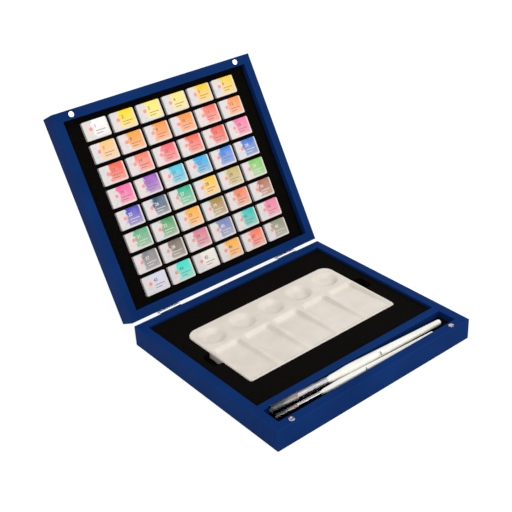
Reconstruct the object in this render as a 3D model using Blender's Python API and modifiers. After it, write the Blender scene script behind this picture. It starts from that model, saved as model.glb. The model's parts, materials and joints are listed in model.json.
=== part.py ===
"""Wooden watercolor box: a hinged paint box with forty-eight pans in the lid, a ceramic
palette and two capped brushes in the base, drawn with the lid open on its hinge stops.

Metres, +Z up. The origin is the centre of the base's underside. +X runs along the hinges to
the right, +Y runs towards the hinges. Lid pieces are drawn closed, in a frame that sits on
the hinge axis, and that frame is then swung open.
"""

import math
import random
from dataclasses import dataclass

import bmesh
import bpy
from mathutils import Matrix, Vector

MM = 0.001

# Walls and panels of the case
WALL = 10 * MM
PANEL = 4 * MM
EDGE_ROUND = 0.5 * MM
SEAM = 0.3 * MM
RIM_GAP = 0.3 * MM
OVERRUN = 2 * MM
LID_OPEN = math.radians(118.4)

# Pans and the foam that holds them
PAN_COLUMNS = 6
PAN_ROWS = 8
PAN_WIDTH = 29 * MM
PAN_DEPTH = 20 * MM
PAN_HEIGHT = 10.5 * MM
COLUMN_RIB = 4 * MM
ROW_RIB = 4.2 * MM
PAN_TO_SIDE_WALL = 19 * MM
PAN_TO_FRONT_WALL = 6.3 * MM
PAN_TO_HINGE_WALL = 7.6 * MM
PAN_DROP = 3.4 * MM
LID_FOAM_DROP = 6.5 * MM
LID_BACKING = 3.5 * MM
PAN_WEB = 1.2 * MM
PAN_WEB_HEIGHT = 6 * MM
PAN_WEB_TO_BACK = 0.5 * MM

# Brush compartment, along the front wall
BRUSH_SPACE = 21 * MM
DIVIDER = 8.7 * MM
BED_DROP = 7 * MM

# Palette and the foam that holds it
PALETTE_THICKNESS = 9 * MM
PALETTE_DROP = 2 * MM
PALETTE_TO_BACK_WALL = 34.5 * MM
PALETTE_TO_DIVIDER = 33.7 * MM
PALETTE_TO_LEFT_WALL = 20.8 * MM
PALETTE_TO_RIGHT_WALL = 19.6 * MM
PALETTE_BACK_CORNER = 12 * MM
PALETTE_FRONT_CORNER = 3 * MM
PALETTE_EDGE = 0.8 * MM
WELL_COUNT = 5
WELL_TO_SIDE = 2.1 * MM
WELL_RIDGE = 3.6 * MM
ROUND_WELL_RIDGE = 8.2 * MM
ROUND_WELL_DEPTH = 5.4 * MM
ROUND_WELL_TO_BACK = 6.4 * MM
SLANT_WELL_DEPTH = 5.4 * MM
SLANT_WELL_TO_FRONT = 1.6 * MM
SLANT_WELL_TO_ROUND = 4.4 * MM
SLANT_WELL_BACK_SLOPE = 3.2 * MM
BASE_FOAM_DROP = 3 * MM
BASE_BACKING = 7.4 * MM
NOTCH_WIDTH = 20 * MM
NOTCH_REACH = 11.5 * MM
NOTCH_CORNER = 4 * MM

# Magnets, let into the front walls
MAGNET_RADIUS = 3 * MM
MAGNET_HEIGHT = 2 * MM
MAGNET_TO_END = 21.2 * MM

# Hinges, on the outside of the back walls
HINGE_TO_END = 46 * MM
HINGE_LENGTH = 26 * MM
HINGE_OFFSET = 1.9 * MM
BARREL_RADIUS = 1.5 * MM
CENTRE_KNUCKLE = 11 * MM
LEAF = 0.9 * MM
LEAF_HEIGHT = 13 * MM
KNUCKLE_RELIEF = 2 * MM
HINGE_PIN_RADIUS = 0.6 * MM
HINGE_PIN_PLAY = 0.05 * MM
HINGE_PIN_PROUD = 0.5 * MM
STOP_ARM = 1 * MM
STOP_ARM_REACH = 5.5 * MM
HINGE_SCREW_SPACING = 16 * MM
HINGE_SCREW_TO_AXIS = 8.6 * MM
SCREW_HEAD_RADIUS = 1.9 * MM
SCREW_HEAD_HEIGHT = 0.9 * MM
SCREW_SHANK_RADIUS = 0.8 * MM
SCREW_SHANK_LENGTH = 7 * MM
SCREW_POINT = 1.2 * MM

# How finely round shapes are faceted
ROUND_SIDES = 16
CORNER_STEPS = 5
TURNED_STEPS = 16
SCREW_STEPS = 12
BALL_SIDES = 28
TUFT_SIDES = 6
SHARP_ANGLE = math.radians(35)


@dataclass
class BrushSizes:
    """One brush. Stations run along its axis from the ferrule's mouth towards the butt."""

    name: str
    cap_to_end_wall: float
    cap_end: float
    cap_to_handle: float
    cap_play: float
    cap_wall: float
    hair_length: float
    hair_rings: int
    ferrule_radius: float
    ferrule_wall: float
    ferrule_length: float
    crimp_spacing: float
    crimp_to_handle: float
    crimp_depth: float
    crimp_width: float
    tenon_length: float
    neck_radius: float
    belly_radius: float
    belly_station: float
    butt_radius: float
    end_room: float

    @property
    def cap_radius(self):
        return self.ferrule_radius + self.cap_play + self.cap_wall

    @property
    def length(self):
        return INNER_WIDTH - self.cap_to_end_wall - self.cap_end - self.end_room


LARGE_BRUSH = BrushSizes(
    name="large_brush",
    cap_to_end_wall=5.9 * MM,
    cap_end=30.5 * MM,
    cap_to_handle=6 * MM,
    cap_play=0.8 * MM,
    cap_wall=0.3 * MM,
    hair_length=22 * MM,
    hair_rings=6,
    ferrule_radius=2.7 * MM,
    ferrule_wall=0.4 * MM,
    ferrule_length=41 * MM,
    crimp_spacing=2.8 * MM,
    crimp_to_handle=1.8 * MM,
    crimp_depth=0.25 * MM,
    crimp_width=1.2 * MM,
    tenon_length=12 * MM,
    neck_radius=3.7 * MM,
    belly_radius=4.8 * MM,
    belly_station=66 * MM,
    butt_radius=3.1 * MM,
    end_room=9.6 * MM,
)
SMALL_BRUSH = BrushSizes(
    name="small_brush",
    cap_to_end_wall=4.7 * MM,
    cap_end=24 * MM,
    cap_to_handle=5 * MM,
    cap_play=0.4 * MM,
    cap_wall=0.3 * MM,
    hair_length=18 * MM,
    hair_rings=4,
    ferrule_radius=1.6 * MM,
    ferrule_wall=0.3 * MM,
    ferrule_length=33 * MM,
    crimp_spacing=2 * MM,
    crimp_to_handle=1.4 * MM,
    crimp_depth=0.15 * MM,
    crimp_width=0.9 * MM,
    tenon_length=9 * MM,
    neck_radius=2.7 * MM,
    belly_radius=3.3 * MM,
    belly_station=52 * MM,
    butt_radius=2.1 * MM,
    end_room=28.3 * MM,
)
# Room between the divider, the two brushes and the front wall, at each end
CAP_GAP = 2.2 * MM
BUTT_GAP = 2.3 * MM
BUTT_TO_FRONT_WALL = 0.8 * MM

# Hair, as shares of the radius and length of the tuft
HAIR_BELLY_RADIUS_SHARE = 1.12
HAIR_TIP_RADIUS_SHARE = 0.1
HAIR_BELLY_LENGTH_SHARE = 0.3
HAIR_EDGE_LENGTH_SHARE = 0.62
HAIR_SPREAD_LENGTH_SHARE = 0.05
HAIR_GAP_SHARE = 0.12
HAIR_ROOT_RECESS = 1 * MM
HAIR_ROOT = 2 * MM

# Places that follow from the sizes
PAN_COLUMN_PITCH = PAN_WIDTH + COLUMN_RIB
PAN_ROW_PITCH = PAN_DEPTH + ROW_RIB
INNER_WIDTH = (PAN_COLUMNS - 1) * PAN_COLUMN_PITCH + PAN_WIDTH + 2 * PAN_TO_SIDE_WALL
PAN_ROWS_DEPTH = (PAN_ROWS - 1) * PAN_ROW_PITCH + PAN_DEPTH
INNER_DEPTH = PAN_TO_FRONT_WALL + PAN_ROWS_DEPTH + PAN_TO_HINGE_WALL
CASE_WIDTH = INNER_WIDTH + 2 * WALL
CASE_DEPTH = INNER_DEPTH + 2 * WALL
BASE_HEIGHT = PANEL + SEAM + BASE_BACKING + SEAM + PALETTE_THICKNESS + PALETTE_DROP
LID_HEIGHT = PANEL + SEAM + LID_BACKING + SEAM + PAN_HEIGHT + PAN_DROP
FRONT_WALL_INSIDE = -INNER_DEPTH / 2
BACK_WALL_INSIDE = INNER_DEPTH / 2
DIVIDER_FRONT = FRONT_WALL_INSIDE + BRUSH_SPACE
DIVIDER_BACK = DIVIDER_FRONT + DIVIDER
FLOOR_TOP = PANEL + SEAM
PALETTE_TOP = BASE_HEIGHT - PALETTE_DROP
PALETTE_WIDTH = INNER_WIDTH - PALETTE_TO_LEFT_WALL - PALETTE_TO_RIGHT_WALL
PALETTE_DEPTH = BACK_WALL_INSIDE - PALETTE_TO_BACK_WALL - PALETTE_TO_DIVIDER - DIVIDER_BACK
PALETTE_X = (PALETTE_TO_LEFT_WALL - PALETTE_TO_RIGHT_WALL) / 2
PALETTE_Y = BACK_WALL_INSIDE - PALETTE_TO_BACK_WALL - PALETTE_DEPTH / 2
WELL_PITCH = (PALETTE_WIDTH - 2 * WELL_TO_SIDE + WELL_RIDGE) / WELL_COUNT
SLANT_WELL_WIDTH = WELL_PITCH - WELL_RIDGE
ROUND_WELL_RADIUS = (WELL_PITCH - ROUND_WELL_RIDGE) / 2
SLANT_WELL_BEHIND = ROUND_WELL_TO_BACK + 2 * ROUND_WELL_RADIUS + SLANT_WELL_TO_ROUND
SLANT_WELL_LENGTH = PALETTE_DEPTH - SLANT_WELL_TO_FRONT - SLANT_WELL_BEHIND
FOAM_WINDOW_FLOOR = PALETTE_TOP - PALETTE_THICKNESS - SEAM
BED_TOP = BASE_HEIGHT - BED_DROP

AXIS_Y = CASE_DEPTH / 2 + HINGE_OFFSET
AXIS_Z = BASE_HEIGHT + RIM_GAP / 2
LID_BACK = -HINGE_OFFSET
LID_MIDDLE = LID_BACK - CASE_DEPTH / 2
LID_RIM = RIM_GAP / 2
LID_TOP = LID_RIM + LID_HEIGHT
PAN_BACK = LID_RIM + PAN_DROP + PAN_HEIGHT
LEAF_INSIDE = LID_BACK + SEAM
LEAF_OUTSIDE = LEAF_INSIDE + LEAF


def clear_scene():
    for obj in list(bpy.data.objects):
        bpy.data.objects.remove(obj, do_unlink=True)
    for group in list(bpy.data.collections):
        bpy.data.collections.remove(group)


def new_collection(name):
    group = bpy.data.collections.new(name)
    bpy.context.scene.collection.children.link(group)
    return group


def linear(hex_colour):
    """A linear RGBA colour from an sRGB hex string."""
    channels = [int(hex_colour[i:i + 2], 16) / 255 for i in (1, 3, 5)]
    return [c / 12.92 if c <= 0.04045 else ((c + 0.055) / 1.055) ** 2.4 for c in channels] + [1]


def material(name, hex_colour, roughness, metallic=0.0):
    finish = bpy.data.materials.new(name)
    finish.use_nodes = True
    shader = finish.node_tree.nodes["Principled BSDF"]
    shader.inputs["Base Color"].default_value = linear(hex_colour)
    shader.inputs["Roughness"].default_value = roughness
    shader.inputs["Metallic"].default_value = metallic
    finish.diffuse_color = linear(hex_colour)
    return finish


def add_object(name, mesh, location=(0, 0, 0), rotation=(0, 0, 0), parent=None, finish=None):
    """A piece when it has a finish, otherwise a cutter."""
    obj = bpy.data.objects.new(name, mesh)
    obj.location = location
    obj.rotation_euler = rotation
    obj.parent = parent
    if finish:
        PIECES.objects.link(obj)
        obj.data.materials.append(finish)
    else:
        CUTTERS.objects.link(obj)
        obj.hide_render = True
        obj.display_type = "WIRE"
    return obj


def box(name, low, high, finish=None, parent=None, rounding=0):
    """A box between two corners, with its origin at its centre."""
    low, high = Vector(low), Vector(high)
    size = high - low
    shape = bmesh.new()
    bmesh.ops.create_cube(shape, size=1, matrix=Matrix.Diagonal((*size, 1)))
    mesh = bpy.data.meshes.new(name)
    shape.to_mesh(mesh)
    shape.free()
    obj = add_object(name, mesh, (low + high) / 2, parent=parent, finish=finish)
    if rounding:
        bevel = obj.modifiers.new("rounded_edges", "BEVEL")
        bevel.width = rounding
        bevel.segments = 1
    return obj


def cylinder(name, radius, length, location, rotation=(0, 0, 0), finish=None, parent=None):
    """A cylinder along its own Z, with its origin at its middle."""
    shape = bmesh.new()
    bmesh.ops.create_cone(
        shape, cap_ends=True, segments=ROUND_SIDES, radius1=radius, radius2=radius, depth=length
    )
    mesh = bpy.data.meshes.new(name)
    shape.to_mesh(mesh)
    shape.free()
    obj = add_object(name, mesh, location, rotation, parent, finish)
    smooth(mesh)
    return obj


def smooth(mesh):
    mesh.shade_smooth()
    mesh.set_sharp_from_angle(angle=SHARP_ANGLE)


def modifier_boolean(obj, other, operation):
    step = obj.modifiers.new(other.name, "BOOLEAN")
    step.operation = operation
    step.object = other
    step.solver = "EXACT"


def cut(obj, *cutters):
    for cutter in cutters:
        modifier_boolean(obj, cutter, "DIFFERENCE")


def evaluated_mesh(obj):
    """The mesh of an object with its modifiers or curve settings applied."""
    bpy.context.view_layer.update()
    depsgraph = bpy.context.evaluated_depsgraph_get()
    return bpy.data.meshes.new_from_object(obj.evaluated_get(depsgraph))


def arc(centre, radius, start, end, steps=CORNER_STEPS):
    """Points on a circle from one angle in degrees to another."""
    angles = [math.radians(start + (end - start) * i / steps) for i in range(steps + 1)]
    return [(centre[0] + radius * math.cos(a), centre[1] + radius * math.sin(a)) for a in angles]


def rectangle(width, depth):
    x, y = width / 2, depth / 2
    return [(-x, -y), (x, -y), (x, y), (-x, y)]


def rounded_rectangle(width, depth, front_radius, back_radius):
    x, y = width / 2, depth / 2
    front, back = front_radius, back_radius
    return (
        arc((-x + front, -y + front), front, 180, 270)
        + arc((x - front, -y + front), front, 270, 360)
        + arc((x - back, y - back), back, 0, 90)
        + arc((-x + back, y - back), back, 90, 180)
    )


def sheet(name, outlines, thickness, location, rotation=(0, 0, 0), finish=None, parent=None):
    """Flat outlines, the first with the others as windows, made a solid of one thickness.
    The origin is half way through it."""
    curve = bpy.data.curves.new(name + "_outline", "CURVE")
    curve.dimensions = "2D"
    curve.fill_mode = "BOTH"
    curve.extrude = thickness / 2
    for outline in outlines:
        spline = curve.splines.new("POLY")
        spline.points.add(len(outline) - 1)
        for point, (x, y) in zip(spline.points, outline):
            point.co = (x, y, 0, 1)
        spline.use_cyclic_u = True
    drawn = bpy.data.objects.new(name + "_outline", curve)
    CUTTERS.objects.link(drawn)
    mesh = evaluated_mesh(drawn)
    bpy.data.objects.remove(drawn, do_unlink=True)
    mesh.name = name
    mesh.materials.clear()
    shape = bmesh.new()
    shape.from_mesh(mesh)
    bmesh.ops.remove_doubles(shape, verts=shape.verts, dist=0.001 * MM)
    bmesh.ops.recalc_face_normals(shape, faces=shape.faces)
    shape.to_mesh(mesh)
    shape.free()
    return add_object(name, mesh, location, rotation, parent, finish)


def turned(
    name,
    profile,
    finish,
    parent=None,
    location=(0, 0, 0),
    rotation=(0, 0, 0),
    closed=False,
    steps=TURNED_STEPS,
):
    """A profile of (radius, height) points, top to bottom down the outer side, turned round Z.
    A closed profile makes a ring or a tube."""
    shape = bmesh.new()
    corners = [shape.verts.new((radius, 0, height)) for radius, height in profile]
    for first, second in zip(corners, corners[1:]):
        shape.edges.new((first, second))
    if closed:
        shape.edges.new((corners[-1], corners[0]))
    mesh = bpy.data.meshes.new(name)
    shape.to_mesh(mesh)
    shape.free()
    obj = add_object(name, mesh, location, rotation, parent, finish)
    screw = obj.modifiers.new("turned", "SCREW")
    screw.axis = "Z"
    screw.steps = steps
    screw.render_steps = steps
    screw.use_smooth_shade = True
    screw.use_merge_vertices = True
    screw.merge_threshold = 0.001 * MM
    return obj


def four_walls(prefix, middle, bottom, height, finish, parent=None):
    """Front and back walls of full width, with the side walls between them."""
    half_width, half_depth = CASE_WIDTH / 2, CASE_DEPTH / 2
    front, back = middle - half_depth, middle + half_depth
    top = bottom + height
    side_front, side_back = front + WALL + SEAM, back - WALL - SEAM
    corners = {
        "front": ((-half_width, front, bottom), (half_width, front + WALL, top)),
        "back": ((-half_width, back - WALL, bottom), (half_width, back, top)),
        "left": ((-half_width, side_front, bottom), (-half_width + WALL, side_back, top)),
        "right": ((half_width - WALL, side_front, bottom), (half_width, side_back, top)),
    }
    return {
        side: box(f"{prefix}_{side}_wall", low, high, finish, parent, EDGE_ROUND)
        for side, (low, high) in corners.items()
    }


def fill(name, front, back, bottom, top, finish, parent=None):
    """A block that fills the case from side wall to side wall."""
    half_width = INNER_WIDTH / 2 - SEAM
    low = (-half_width, front + SEAM, bottom)
    high = (half_width, back - SEAM, top)
    return box(name, low, high, finish, parent)


def set_magnets(prefix, wall, y, rim, inward, finish, parent=None):
    """Two magnets flush with a rim. inward is the direction from the rim into the wood."""
    for side, sign in (("left", -1), ("right", 1)):
        x = sign * (CASE_WIDTH / 2 - MAGNET_TO_END)
        name = f"{prefix}_magnet_{side}"
        middle = rim + inward * MAGNET_HEIGHT / 2
        cylinder(name, MAGNET_RADIUS, MAGNET_HEIGHT, (x, y, middle), finish=finish, parent=parent)
        depth = MAGNET_HEIGHT + SEAM
        pocket = cylinder(
            name + "_pocket",
            MAGNET_RADIUS + SEAM,
            depth + OVERRUN,
            (x, y, rim + inward * (depth - OVERRUN) / 2),
            parent=parent,
        )
        cut(wall, pocket)


def build_base(paint, foam, magnet):
    half_depth = CASE_DEPTH / 2
    walls = four_walls("base", 0, 0, BASE_HEIGHT, paint)
    fill("base_floor", FRONT_WALL_INSIDE, BACK_WALL_INSIDE, 0, PANEL, paint)
    divider_end = INNER_WIDTH / 2 - SEAM
    box(
        "base_divider",
        (-divider_end, DIVIDER_FRONT, FLOOR_TOP),
        (divider_end, DIVIDER_BACK, BASE_HEIGHT),
        paint,
        rounding=EDGE_ROUND,
    )
    set_magnets("base", walls["front"], WALL / 2 - half_depth, BASE_HEIGHT, -1, magnet)
    fill("brush_bed_foam", FRONT_WALL_INSIDE, DIVIDER_FRONT, FLOOR_TOP, BED_TOP, foam)
    fill("base_foam_backing", DIVIDER_BACK, BACK_WALL_INSIDE, FLOOR_TOP, FOAM_WINDOW_FLOOR, foam)
    build_base_foam(foam)
    return walls


def build_base_foam(foam):
    """The die-cut sheet round the palette, with a finger notch at each end."""
    top = BASE_HEIGHT - BASE_FOAM_DROP
    bottom = FOAM_WINDOW_FLOOR + SEAM
    thickness = top - bottom
    body = fill("base_foam", DIVIDER_BACK, BACK_WALL_INSIDE, bottom, top, foam)
    window = sheet(
        "palette_window",
        [
            rounded_rectangle(
                PALETTE_WIDTH + 2 * SEAM,
                PALETTE_DEPTH + 2 * SEAM,
                PALETTE_FRONT_CORNER,
                PALETTE_BACK_CORNER,
            )
        ],
        thickness + 2 * OVERRUN,
        (PALETTE_X, PALETTE_Y, bottom + thickness / 2),
    )
    notch = sheet(
        "finger_notches",
        [
            rounded_rectangle(
                PALETTE_WIDTH + 2 * NOTCH_REACH,
                NOTCH_WIDTH,
                NOTCH_CORNER,
                NOTCH_CORNER,
            )
        ],
        thickness + 2 * OVERRUN,
        (PALETTE_X, PALETTE_Y, bottom + thickness / 2),
    )
    cut(body, window, notch)


def build_palette(glaze):
    """A glazed slab with a row of round wells behind a row of slanted ones."""
    slab = sheet(
        "palette",
        [rounded_rectangle(PALETTE_WIDTH, PALETTE_DEPTH, PALETTE_FRONT_CORNER, PALETTE_BACK_CORNER)],
        PALETTE_THICKNESS,
        (PALETTE_X, PALETTE_Y, PALETTE_TOP - PALETTE_THICKNESS / 2),
        finish=glaze,
    )
    rounded = slab.modifiers.new("rounded_edges", "BEVEL")
    rounded.width = PALETTE_EDGE
    rounded.segments = 2
    rounded.limit_method = "ANGLE"
    for index in range(WELL_COUNT):
        x = PALETTE_X + (index - (WELL_COUNT - 1) / 2) * WELL_PITCH
        cut(slab, round_well(index, x), slanted_well(index, x))


def round_well(index, x):
    """A ball that dips into the slab by the well's depth and meets its top in the rim."""
    ball_radius = (ROUND_WELL_RADIUS**2 + ROUND_WELL_DEPTH**2) / (2 * ROUND_WELL_DEPTH)
    shape = bmesh.new()
    bmesh.ops.create_uvsphere(
        shape, u_segments=BALL_SIDES, v_segments=BALL_SIDES, radius=ball_radius
    )
    mesh = bpy.data.meshes.new(f"round_well_{index + 1}")
    shape.to_mesh(mesh)
    shape.free()
    y = PALETTE_Y + PALETTE_DEPTH / 2 - ROUND_WELL_TO_BACK - ROUND_WELL_RADIUS
    return add_object(mesh.name, mesh, (x, y, PALETTE_TOP - ROUND_WELL_DEPTH + ball_radius))


def slanted_well(index, x):
    """A steep back wall, and a floor that climbs to the slab's top near the front edge."""
    front = -PALETTE_DEPTH / 2 + SLANT_WELL_TO_FRONT
    back = front + SLANT_WELL_LENGTH
    rise = OVERRUN
    climb_share = rise / SLANT_WELL_DEPTH
    floor_length = SLANT_WELL_LENGTH - SLANT_WELL_BACK_SLOPE
    section = [
        (front - floor_length * climb_share, rise),
        (back - SLANT_WELL_BACK_SLOPE, -SLANT_WELL_DEPTH),
        (back + SLANT_WELL_BACK_SLOPE * climb_share, rise),
    ]
    return sheet(
        f"slanted_well_{index + 1}",
        [section],
        SLANT_WELL_WIDTH,
        (x, PALETTE_Y, PALETTE_TOP),
        rotation=(math.radians(90), 0, math.radians(90)),
    )


def pan_places():
    """The middle of each column, and of each row counted from the lid's free edge."""
    columns = [(i - (PAN_COLUMNS - 1) / 2) * PAN_COLUMN_PITCH for i in range(PAN_COLUMNS)]
    first_row = LID_MIDDLE - INNER_DEPTH / 2 + PAN_TO_FRONT_WALL + PAN_DEPTH / 2
    rows = [first_row + j * PAN_ROW_PITCH for j in range(PAN_ROWS)]
    return columns, rows


def row_of_pockets(columns, row, clearance):
    """The outline of one row of pockets, joined by a slit for the web between pans."""
    half_width = PAN_WIDTH / 2 + clearance
    half_depth = PAN_DEPTH / 2 + clearance
    half_slit = PAN_WEB / 2 + clearance
    front, back = [], []
    for number, x in enumerate(columns):
        ends = [(x - half_width, half_depth), (x + half_width, half_depth)]
        if number > 0:
            ends.insert(0, (x - half_width, half_slit))
        if number < len(columns) - 1:
            ends.append((x + half_width, half_slit))
        front += [(px, row - reach) for px, reach in ends]
        back += [(px, row + reach) for px, reach in ends]
    return front + back[::-1]


def build_lid(axis, paint, foam, magnet):
    half_depth = CASE_DEPTH / 2
    walls = four_walls("lid", LID_MIDDLE, LID_RIM, LID_HEIGHT, paint, axis)
    front = LID_MIDDLE - INNER_DEPTH / 2
    back = LID_MIDDLE + INNER_DEPTH / 2
    fill("lid_panel", front, back, LID_TOP - PANEL, LID_TOP, paint, axis)
    magnet_y = LID_MIDDLE - half_depth + WALL / 2
    set_magnets("lid", walls["front"], magnet_y, LID_RIM, 1, magnet, axis)
    backing_top = LID_TOP - PANEL - SEAM
    fill("lid_foam_backing", front, back, PAN_BACK + SEAM, backing_top, foam, axis)
    columns, rows = pan_places()
    outer = [(x, y + LID_MIDDLE) for x, y in rectangle(INNER_WIDTH - 2 * SEAM, INNER_DEPTH - 2 * SEAM)]
    foam_low = LID_RIM + LID_FOAM_DROP
    sheet(
        "lid_foam",
        [outer] + [row_of_pockets(columns, row, SEAM) for row in rows],
        PAN_BACK - foam_low,
        (0, 0, (PAN_BACK + foam_low) / 2),
        finish=foam,
        parent=axis,
    )
    return walls


def build_pan_rows(axis, papers):
    """Rows of wrapped pans, each row joined by a thin web that stands in the foam's slits."""
    columns, rows = pan_places()
    web_half_length = (PAN_COLUMNS - 1) * PAN_COLUMN_PITCH / 2
    web = box(
        "pan_web",
        (-web_half_length, -PAN_WEB / 2, PAN_HEIGHT / 2 - PAN_WEB_TO_BACK - PAN_WEB_HEIGHT),
        (web_half_length, PAN_WEB / 2, PAN_HEIGHT / 2 - PAN_WEB_TO_BACK),
    )
    half = Vector((PAN_WIDTH / 2, PAN_DEPTH / 2, PAN_HEIGHT / 2))
    for number, x in enumerate(columns):
        centre = Vector((x, 0, 0))
        pan = box(f"pan_block_{number + 1}", centre - half, centre + half)
        modifier_boolean(web, pan, "UNION")
    row_mesh = evaluated_mesh(web)
    middle = LID_RIM + PAN_DROP + PAN_HEIGHT / 2
    web_middle = web.location.z
    for number, (row, paper) in enumerate(zip(rows, papers)):
        mesh = row_mesh.copy()
        mesh.materials.clear()
        add_object(
            f"pan_row_{number + 1}",
            mesh,
            (0, row, middle + web_middle),
            parent=axis,
            finish=paper,
        )


def leaf_outline(with_stop):
    """A leaf's section across the hinge: plate, barrel and, on the base leaf, the stop arm.
    The first coordinate runs away from the case, the second away from the barrel."""
    meet = -math.sqrt(BARREL_RADIUS**2 - LEAF_OUTSIDE**2)
    last = math.degrees(math.atan2(-meet, LEAF_OUTSIDE))
    steps = ROUND_SIDES // 2
    if not with_stop:
        barrel = arc((0, 0), BARREL_RADIUS, -180, last, 2 * steps)
        return [(LEAF_INSIDE, LEAF_HEIGHT), (LEAF_INSIDE, 0)] + barrel + [(LEAF_OUTSIDE, LEAF_HEIGHT)]
    slope = LID_OPEN - math.radians(90)
    along = Vector((math.cos(slope), math.sin(slope)))
    across = Vector((math.sin(slope), -math.cos(slope)))
    near = -LEAF_OUTSIDE - SEAM
    far = near - STOP_ARM
    near_angle = math.degrees(slope - math.asin(near / BARREL_RADIUS))
    far_angle = math.degrees(slope - math.asin(far / BARREL_RADIUS))
    arm = [along * STOP_ARM_REACH + across * near, along * STOP_ARM_REACH + across * far]
    return (
        [(LEAF_INSIDE, LEAF_HEIGHT), (LEAF_INSIDE, 0)]
        + arc((0, 0), BARREL_RADIUS, -180, near_angle, steps)
        + [tuple(point) for point in arm]
        + arc((0, 0), BARREL_RADIUS, far_angle, last, steps)
        + [(LEAF_OUTSIDE, LEAF_HEIGHT)]
    )


def hinge_leaf(name, x, lower, steel, axis):
    """One leaf: the section, extruded along the hinge and notched for the other knuckles."""
    outline = leaf_outline(with_stop=lower)
    if lower:
        outline = [(y, -z) for y, z in outline]
        place, parent, up = Vector((x, AXIS_Y, AXIS_Z)), None, -1
    else:
        place, parent, up = Vector((x, 0, 0)), axis, 1
    turn = (math.radians(90), 0, math.radians(90))
    leaf = sheet(name, [outline], HINGE_LENGTH, place, turn, steel, parent)
    bore = cylinder(
        name + "_bore",
        HINGE_PIN_RADIUS + HINGE_PIN_PLAY,
        HINGE_LENGTH + 2 * OVERRUN,
        place,
        (0, math.radians(90), 0),
        parent=parent,
    )
    reach = STOP_ARM_REACH + OVERRUN
    half_knuckle, half_hinge = CENTRE_KNUCKLE / 2, HINGE_LENGTH / 2
    if lower:
        spans = [(-half_knuckle - SEAM, half_knuckle + SEAM)]
    else:
        spans = [(-half_hinge - OVERRUN, -half_knuckle), (half_knuckle, half_hinge + OVERRUN)]
    cut(leaf, bore)
    for number, (start, end) in enumerate(spans):
        low_z, high_z = sorted((up * KNUCKLE_RELIEF, -up * reach))
        notch = box(
            f"{name}_notch_{number + 1}",
            place + Vector((start, -HINGE_OFFSET, low_z)),
            place + Vector((end, reach, high_z)),
            parent=parent,
        )
        cut(leaf, notch)
    return leaf


def hinge_screws(prefix, x, up, leaf, wall, steel, parent):
    """Two screws through a leaf into the wall behind it."""
    for number, sign in enumerate((-1, 1)):
        place = Vector((x + sign * HINGE_SCREW_SPACING / 2, LEAF_OUTSIDE, up * HINGE_SCREW_TO_AXIS))
        if parent is None:
            place += Vector((0, AXIS_Y, AXIS_Z))
        name = f"{prefix}_screw_{number + 1}"
        dome = SCREW_HEAD_HEIGHT / 2
        profile = [
            (0, SEAM + SCREW_HEAD_HEIGHT),
            (SCREW_HEAD_RADIUS - dome, SEAM + SCREW_HEAD_HEIGHT),
            (SCREW_HEAD_RADIUS, SEAM + dome),
            (SCREW_HEAD_RADIUS, SEAM),
            (SCREW_SHANK_RADIUS, SEAM),
            (SCREW_SHANK_RADIUS, SCREW_POINT - SCREW_SHANK_LENGTH),
            (0, -SCREW_SHANK_LENGTH),
        ]
        face_out = (math.radians(-90), 0, 0)
        turned(name, profile, steel, parent, place, face_out, steps=SCREW_STEPS)
        depth = SCREW_SHANK_LENGTH + SEAM
        middle = place + Vector((0, (OVERRUN - depth) / 2, 0))
        hole = cylinder(
            name + "_hole",
            SCREW_SHANK_RADIUS + SEAM,
            depth + OVERRUN,
            middle,
            face_out,
            parent=parent,
        )
        cut(leaf, hole)
        cut(wall, hole)


def build_hinges(axis, base_walls, lid_walls, steel):
    for side, sign in (("left", -1), ("right", 1)):
        x = sign * (CASE_WIDTH / 2 - HINGE_TO_END)
        base_leaf = hinge_leaf(f"{side}_hinge_base_leaf", x, True, steel, axis)
        lid_leaf = hinge_leaf(f"{side}_hinge_lid_leaf", x, False, steel, axis)
        cylinder(
            f"{side}_hinge_pin",
            HINGE_PIN_RADIUS,
            HINGE_LENGTH + 2 * HINGE_PIN_PROUD,
            (x, AXIS_Y, AXIS_Z),
            (0, math.radians(90), 0),
            steel,
        )
        hinge_screws(f"{side}_hinge_base", x, -1, base_leaf, base_walls["back"], steel, None)
        hinge_screws(f"{side}_hinge_lid", x, 1, lid_leaf, lid_walls["back"], steel, axis)


def ease(start, end, share):
    """A smooth change from start to end as share goes from 0 to 1."""
    return start + (end - start) * share * share * (3 - 2 * share)


def handle_profile(brush):
    """From the rounded butt along a straight taper to the belly, then to the neck and the tenon
    in the ferrule."""
    neck = brush.ferrule_length + SEAM
    taper_end = brush.length - brush.butt_radius
    butt = arc((0, taper_end), brush.butt_radius, 90, 0)
    belly = []
    for i in range(CORNER_STEPS + 1):
        share = i / CORNER_STEPS
        station = brush.belly_station + (neck - brush.belly_station) * share
        belly.append((ease(brush.belly_radius, brush.neck_radius, share), station))
    tenon_radius = brush.ferrule_radius - brush.ferrule_wall - brush.crimp_depth - SEAM
    tenon_end = brush.ferrule_length - brush.tenon_length
    tenon = [(tenon_radius, neck), (tenon_radius, tenon_end), (0, tenon_end)]
    return [(0, brush.length)] + butt[1:] + belly + tenon


def ferrule_profile(brush):
    """A thin tube pinched by two crimps, outer side first and then back up the bore."""
    outer, bore = brush.ferrule_radius, brush.ferrule_radius - brush.ferrule_wall
    first = brush.ferrule_length - brush.crimp_to_handle
    half = brush.crimp_width / 2
    outside, inside = [(outer, brush.ferrule_length)], [(bore, brush.ferrule_length)]
    for station in (first, first - brush.crimp_spacing):
        pinch = [(0, station + half), (brush.crimp_depth, station), (0, station - half)]
        outside += [(outer - depth, height) for depth, height in pinch]
        inside += [(bore - depth, height) for depth, height in pinch]
    return outside + [(outer, 0), (bore, 0)] + inside[::-1]


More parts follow.
